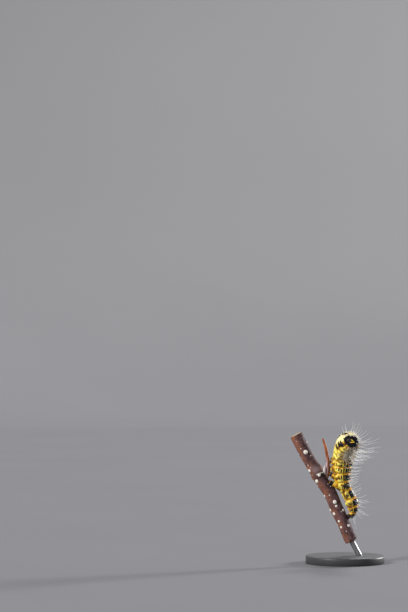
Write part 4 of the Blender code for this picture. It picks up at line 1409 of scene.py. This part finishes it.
shares = np.linspace(0.0, 1.0, TWIG_RINGS)
distance = shares * TWIG_LENGTH
turns = round_angles(TWIG_SIDES)
twig_across, twig_other = across_line(TWIG_FOOT + np.outer(distance, TWIG_WAY), (0, -1, 0))
round_twig = np.outer(np.cos(turns), twig_across[0]) + np.outer(np.sin(turns), twig_other[0])
plain = np.repeat(twig_radius(shares), TWIG_SIDES)
lie = np.stack([np.tile(np.cos(turns), TWIG_RINGS) * plain, np.tile(np.sin(turns), TWIG_RINGS) * plain,
                LIE_SHORTENED * np.repeat(distance, TWIG_SIDES)], axis=1)
stretched = lie * (1, 1, 1 / LIE_SHORTENED)
relief = 0.050 * grain(lie, 0.60) + 0.030 * grain(lie, 0.27, 7.0) + 0.10 * grain(stretched, 4.5, 3.0)
knee = TWIG_KNEE_AT * TWIG_LENGTH
height = np.repeat(distance, TWIG_SIDES) + 0.25 * grain(stretched, 2.2, 13.0)
scars = np.max([bump_at(height, knee + step, 0.10) for step in SCARS], axis=0)
to_shoot = facing(0.80, -0.60, 0.40)
ring_at = knee + 0.42 - 0.75 * np.maximum(0.0, facing(*TWIG_ACROSS)) ** 2 + 0.10 * grain(lie, 0.5, 61.0)
rim = bump_at(height, ring_at, 0.14) * rise_from(to_shoot, 0.22, 0.50)
hollow_below = rise_from(height, ring_at - 2.2, ring_at - 0.5) * rise_from(height, ring_at, ring_at - 0.3)
hollow_below *= rise_from(to_shoot, 0.25, 0.70)
bloom = bump_at(height, ring_at + 1.8, 1.4) * rise_from(to_shoot, -0.2, 0.5)
bloom *= rise_from(height, ring_at, ring_at + 0.4)
sunny = rise_from(facing(-0.90, -0.35, 0.20), 0.15, 0.95)
end = np.repeat(np.minimum(distance, TWIG_LENGTH - distance), TWIG_SIDES)
relief += 0.10 * rim - 0.05 * hollow_below - 0.07 * scars - 0.16 * bump_at(end, 0.0, 0.12)
middle = twig_middle(shares)
bark = np.tile(round_twig, (TWIG_RINGS, 1)) * (plain + relief)[:, None]
bark += np.repeat(middle, TWIG_SIDES, axis=0)

foot_rings, top_rings = [], []
for core in CORES:
    saw = np.outer(0.03 * grain(bark[:TWIG_SIDES] * core, 0.5, 2.0), TWIG_WAY)
    foot_rings.insert(0, middle[0] + (bark[:TWIG_SIDES] - middle[0]) * core + saw)
    top_rings.append(middle[-1] + (bark[-TWIG_SIDES:] - middle[-1]) * core + saw)
twig_points = np.vstack([*foot_rings, bark, *top_rings])

# %% [markdown]
# ### The bark's finish
# Bark is dull, with darker furrows and a thin grey bloom. Its colour follows the twig, so the finish
# reads a map that the points carry, in which lengths along the twig are shortened. Noise in that map
# comes out as streaks. On the cut ends the rings follow each point's share of the radius.

# %% Make the bark's finish
bark_finish = new_finish("bark", 0.72, Specular_IOR_Level=0.35)
lie_here = attribute("lie", "Vector")
streaks = smooth_step(speckle(1.7, 4.0, 0.62, lie_here), 0.34, 0.66)
sunlit = maths("ADD", times(attribute("sunny"), 0.90), 0.04)
mottle = speckle(1500, 3.0, 0.6)
bark_colour = painted(
    mix(streaks, (0.026, 0.013, 0.018), (0.090, 0.042, 0.048)),
    (times(sunlit, smooth_step(speckle(260, 3.0), 0.28, 0.62)), (0.36, 0.135, 0.062)),
    (times(smooth_step(speckle(620), 0.50, 0.64), 0.55), (0.170, 0.085, 0.098)),
    (times(smooth_step(mottle, 0.52, 0.68), 0.55), (0.26, 0.135, 0.125)),
    (times(smooth_step(mottle, 0.46, 0.34), 0.65), (0.016, 0.008, 0.012)),
    (attribute("bloom"), (0.36, 0.25, 0.25)),
    # dark ring scars, and a painted shadow below the ring
    (attribute("scar_and_shadow"), (0.020, 0.012, 0.012)),
    (attribute("rim"), (0.90, 0.85, 0.78)),
)
core = attribute("core")
wave = maths("MULTIPLY_ADD", maths("SINE", times(core, 34.0)), 0.5, 0.5)
wood = painted(
    mix(wave, (0.52, 0.36, 0.19), (0.66, 0.49, 0.28)),
    (smooth_step(core, 0.20, 0.12), (0.30, 0.17, 0.08)),
    (smooth_step(core, 0.84, 0.90), (0.36, 0.34, 0.13)),
)
feed("Base Color", mix(smooth_step(core, 0.93, 0.955), wood, bark_colour))
bump(speckle(6.0, 4.0, 0.65, lie_here), 0.00012, 0.7)

twig_faces = ring_faces(len(twig_points) // TWIG_SIDES, TWIG_SIDES)
twig = new_piece("twig_bark", twig_points, twig_faces, bark_finish)
cut = np.repeat(CORES, TWIG_SIDES)
give(twig, "core", np.concatenate([cut[::-1], np.full(len(bark), 1.1), cut]))
give(twig, "lie", np.pad(lie, ((len(cut), len(cut)), (0, 0))))
# The ring scars are dark, and the hollow below the ring is darkened the same way: a painted shadow.
scars_and_painted_shadow = np.maximum(0.7 * scars, 0.8 * hollow_below)
for name, values in dict(rim=rim, sunny=sunny, scar_and_shadow=scars_and_painted_shadow, bloom=0.55 * bloom).items():
    give(twig, name, np.pad(values, len(cut)))
faces_out(twig)
print("twig", len(twig.data.polygons), "faces")

# %% Set the corky pores on the bark
# How far below the twig's middle, the angle from the front, and the size where it is a large one
FRONT_PORES = [
    (-13.3, 5, 1.85),
    (-7.2, -59, 1.45),
    (-4.5, 3),
    (-3.1, -43, 1.60),
    (2.5, -76),
    (5.7, 5, 1.65),
    (7.1, 5),
    (7.6, -76),
    (9.1, -46, 1.35),
    (9.4, 52),
    (12.0, -35),
    (14.1, -41),
    (14.7, 32),
]
BACK_PORES = 11
SMALL_PORES = 46

pore_random = random.Random(SEED)
pores = [(*pore, pore_random.uniform(1.05, 1.3))[:3] for pore in FRONT_PORES]
pores += [(-16.0 + 2.9 * k, 105 + 137 * k % 150, 1.0) for k in range(BACK_PORES)]
pores += [(pore_random.uniform(-18, 18), pore_random.uniform(-180, 180), pore_random.uniform(0.28, 0.5))
          for _ in range(SMALL_PORES)]
below, pore_angle, pore_size = np.array(pores).T
pore_share = 0.5 - below / TWIG_LENGTH
front = np.array([0.0, -1.0, 0.0])
turn = np.radians(pore_angle)
pore_out = np.outer(np.cos(turn), front) + np.outer(np.sin(turn), np.cross(front, -TWIG_WAY))
pore_at = twig_middle(pore_share) + pore_out * (twig_radius(pore_share) - 0.02)[:, None]

pore_finish = speckled("pale cork", 0.8, (5000, 2.0, (0.97, 0.95, 0.90), (0.84, 0.79, 0.70)),
                       (9000, 3.0, 0.00003, 0.6), ("slit", (0.66, 0.54, 0.42), 0.55, 1.0),
                       Specular_IOR_Level=0.3)
lenticels = set_out("twig_lenticels", oval_tree(), pore_finish, pore_at, pore_out,
                    np.tile(TWIG_WAY, (len(pores), 1)), pore_size, Width=0.37, Length=0.42, Height=0.22)

# %% [markdown]
# ## The side shoot
# A thin, dead side shoot rises from the knee, orange-brown and smooth, with a broken tip. The front
# prolegs clasp it. Its foot is pale and papery, and two withered bud scales still stand there.

# %% Make the side shoot and the bud scales
SHOOT_SIDES = 36
BUD_SCALES = [  # the middle line, half the width, and how brown it is
    ([(-7.75, -1.10, 29.4), (-7.80, -1.05, 30.6), (-7.90, -0.85, 31.7), (-8.05, -0.70, 32.6)], 0.36, 0.85),
    ([(-6.95, -1.20, 29.3), (-6.90, -1.25, 30.5), (-6.82, -1.10, 31.5), (-6.72, -0.95, 32.3)], 0.42, 0.0),
]

shoot_finish = new_finish("shoot bark", 0.55, Specular_IOR_Level=0.4)
lie_here = attribute("lie", "Vector")
streaks = smooth_step(speckle(2.2, 3.0, place=lie_here), 0.35, 0.65)
papery = mix(streaks, (0.58, 0.48, 0.52), (0.24, 0.13, 0.11))
feed("Base Color", painted(
    mix(streaks, (0.20, 0.045, 0.012), (0.42, 0.120, 0.026)),
    (attribute("foot"), papery),
    (attribute("wood"), (0.46, 0.26, 0.11)),
))
bump(speckle(8.0, 3.0, place=lie_here), 0.00006, 0.6)

turns = round_angles(SHOOT_SIDES)
reach = SHOOT_RADIUS[:, None] * np.ones(SHOOT_SIDES)
lie = np.stack([np.cos(turns) * reach, np.sin(turns) * reach, 0.6 * SHOOT_STEPS[:, None] + 0 * reach], axis=2)
reach = reach + 0.035 * grain((lie * (1, 1, 3)).reshape(-1, 3), 0.5, 4.0).reshape(reach.shape)
reach = reach - 0.05 * bump_at(SHOOT_STEPS, 1.45, 0.03)[:, None]
shoot_rings = tube_points(SHOOT_LINE, reach, SHOOT_SIDES).reshape(-1, SHOOT_SIDES, 3)
tip, tip_way = SHOOT_LINE[-1], unit(SHOOT_LINE[-1] - SHOOT_LINE[-3])
broken = 0.22 * np.abs(np.sin(1.5 * turns + 0.6)) + 0.07 * np.sin(7 * turns)
shoot_rings[-1] += np.outer(broken, tip_way)
pit = [tip + (shoot_rings[-1] - tip) * share - tip_way * deep for share, deep in ((0.6, 0.10), (0.2, 0.16))]
shoot_rings = np.concatenate([shoot_rings, pit])
shoot_faces = ring_faces(len(shoot_rings), SHOOT_SIDES)
shoot = new_piece("shoot_bark", shoot_rings.reshape(-1, 3), shoot_faces, shoot_finish)
give(shoot, "wood", np.repeat([*np.zeros(len(SHOOT_LINE)), 1.0, 1.0], SHOOT_SIDES))
foot = rise_from(shoot_rings[..., 2], 35.6, 33.4) * rise_from(-shoot_rings[..., 0], 5.45, 6.0)
give(shoot, "foot", 0.9 * foot.ravel())
give(shoot, "lie", np.concatenate([lie, lie[-1:], lie[-1:]]).reshape(-1, 3))
faces_out(shoot)

scale_finish = speckled("withered bud scale", 0.8, (2200, 3.0, (0.86, 0.80, 0.80), (0.46, 0.36, 0.36)),
                        (6000, 2.0, 0.00004, 0.7), ("brown", (0.30, 0.15, 0.09)))
scales = []
for shape, half_width, brown in BUD_SCALES:
    line = smooth_line(shape, 8)
    swell = np.sin(np.linspace(0.35, 1.0, len(line)) * math.pi) ** 0.7
    scale = tube("scale", line, half_width * swell + 0.03, 24, scale_finish, first=(1, 0, 0), flatness=0.45)
    give(scale, "brown", np.full(len(scale.data.vertices), brown))
    scales.append(scale)
bud_scale = faces_out(joined("shoot_bud_scales", scales))
print("shoot and bud scales made")

# %% [markdown]
# ## The display stand
# The stand isn't in the photo. It is plain, so that it draws no attention: a satin charcoal disc and a
# drawn steel rod. The solids have the right shape but few faces, so both are turned again here with
# a finer rounded edge, as on a lathe.

# %% Turn the stand
BASE_RADIUS = 13.0
BASE_HEIGHT = 2.5
BASE_EDGE = 0.45
BASE_SIDES = 160
ROD_RADIUS = 0.9
ROD_SIDES = 48


def turned(name, profile, sides, finish, **ends):
    """A piece turned round the upright axis. The profile gives radii and heights."""
    turns = round_angles(sides)
    points = [(r * math.cos(t), r * math.sin(t), h) for r, h in profile for t in turns]
    return new_piece(name, points, ring_faces(len(profile), sides, **ends), finish)


base_finish = speckled("satin charcoal", 0.42, (900, 3.0, (0.040, 0.040, 0.044), (0.062, 0.062, 0.067)),
                       (9000, 2.0, 0.00001, 0.5), Specular_IOR_Level=0.5)
rod_finish = new_finish("drawn steel", 0.42, Metallic=1.0)
drawn = add("ShaderNodeMapping", {"Vector": here(), "Scale": (9000.0, 9000.0, 300.0),
                                  "Rotation": (0.0, math.radians(28), 0.0)})
steel = speckle(1.0, place=drawn)
feed("Base Color", mix(steel, (0.28, 0.28, 0.30), (0.42, 0.42, 0.43)))
bump(steel, 0.00001, 0.4)

base_profile = [(0.6, 0.0), (BASE_RADIUS * 0.6, 0.0), (BASE_RADIUS - 0.2, 0.0), (BASE_RADIUS, 0.2)]
base_profile += [(BASE_RADIUS - BASE_EDGE * (1 - math.cos(t)), BASE_HEIGHT - BASE_EDGE * (1 - math.sin(t)))
                 for t in np.radians(np.linspace(0, 90, 9))]
base_profile += [(BASE_RADIUS * 0.6, BASE_HEIGHT), (0.6, BASE_HEIGHT)]
stand_base = faces_out(turned("stand_base_disc", base_profile, BASE_SIDES, base_finish))
rod_top = twig_middle(0.0) - TWIG_WAY * 0.02
rod_foot = rod_top - TWIG_WAY * ((rod_top[2] - BASE_HEIGHT + 0.4) / TWIG_WAY[2])
rod_line = np.linspace(rod_foot, rod_top, 8)
stand_rod = faces_out(tube("stand_rod_steel", rod_line, np.full(8, ROD_RADIUS), ROD_SIDES, rod_finish))
print("stand turned")

# %% [markdown]
# ## The stage
# A wide, round floor that curves up into a wall all round makes a plain background from every side,
# like the paper sweep of a photo studio. Distant lamps light the floor evenly, and the wall less, so the
# paper is paler there, and the white hairs show against an even middle grey as in the photo. The main
# light comes from behind the camera. Two lamps behind the larva make its hairs glow.

# %% Make the floor and set the light
FLOOR_RADIUS = 1050
SWEEP_RADIUS = 550
WALL_TOP = 950
SWEEP_SIDES = 96

profile = [(1, 0.0), (300, 0.0), (700, 0.0), (FLOOR_RADIUS, 0.0)]
profile += [(FLOOR_RADIUS + SWEEP_RADIUS * math.sin(t), SWEEP_RADIUS * (1 - math.cos(t)))
            for t in np.radians(range(6, 91, 6))]
profile.append((FLOOR_RADIUS + SWEEP_RADIUS, WALL_TOP))
stage_finish = new_finish("pale sweep", 0.9, Specular_IOR_Level=0.2)
far = add("ShaderNodeVectorMath", {0: here()}, output="Value", operation="LENGTH")
paper = mix(smooth_step(far, 0.95, 1.62), (0.165, 0.165, 0.18), (0.36, 0.36, 0.38))
feed("Base Color", mix(times(speckle(12), 0.04), paper, (0.6, 0.6, 0.6)))
sweep = turned("sweep", profile, SWEEP_SIDES, stage_finish, ends=False)
sweep.visible_shadow = False


def far_lamp(name, towards, strength, width, colour=(1.0, 1.0, 1.0)):
    """A distant lamp in the direction given. Its width in the sky, in degrees, softens its shadows."""
    lamp = bpy.data.lights.new(name, "SUN")
    lamp.energy = strength
    lamp.angle = math.radians(width)
    lamp.color = colour
    shown(name, lamp).rotation_euler = Vector(towards).to_track_quat("Z", "Y").to_euler()


far_lamp("key", (-0.78, -0.55, 0.55), 2.9, 16, (1.0, 0.98, 0.94))
far_lamp("rim right", (0.84, 0.56, 0.26), 4.0, 12)
far_lamp("rim top", (0.15, 0.62, 0.75), 1.3, 16)
world = bpy.data.worlds.new("studio")
world.use_nodes = True
sky = world.node_tree.nodes["Background"].inputs
sky["Color"].default_value = (0.80, 0.84, 0.90, 1.0)
sky["Strength"].default_value = 0.30
bpy.context.scene.world = world
bpy.context.scene.view_settings.view_transform = "Standard"

# %% [markdown]
# ## Tie each piece to the model
# Nothing moves, so every piece rides on the one body. A piece that stands for solids says which, and
# those solids are hidden.

# %% Ride and replace
TIES = [  # each piece, the finish's slot in the record, and the solids that it stands for
    (skin, "larva_skin", *NAMES, *(name for name, *_ in LIMBS)),
    *((piece, "larva_skin") for piece in coat),
    (head, "head_chitin", "head"),
    (eyes, "head_chitin"),
    *((piece, "head_chitin" if node.startswith("mandible") else "pale_mouthparts", node)
      for node, piece in mouth.items()),
    *((piece, "leg_chitin", node) for node, piece in legs.items()),
    (twig, "bark", "twig"),
    (lenticels, "bark"),
    (shoot, "shoot_bark", "twig_side_shoot"),
    (stand_base, "stand_base", "stand_base"),
    (stand_rod, "stand_rod", "stand_rod"),
    (holes, "leg_chitin"),
    (hooks, "leg_chitin"),
    (bud_scale, "shoot_bark"),
]
for piece, slot, *nodes in TIES:
    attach(piece, "root")
    if nodes:
        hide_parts(*nodes)
print(len(TIES), "pieces tied to the model")
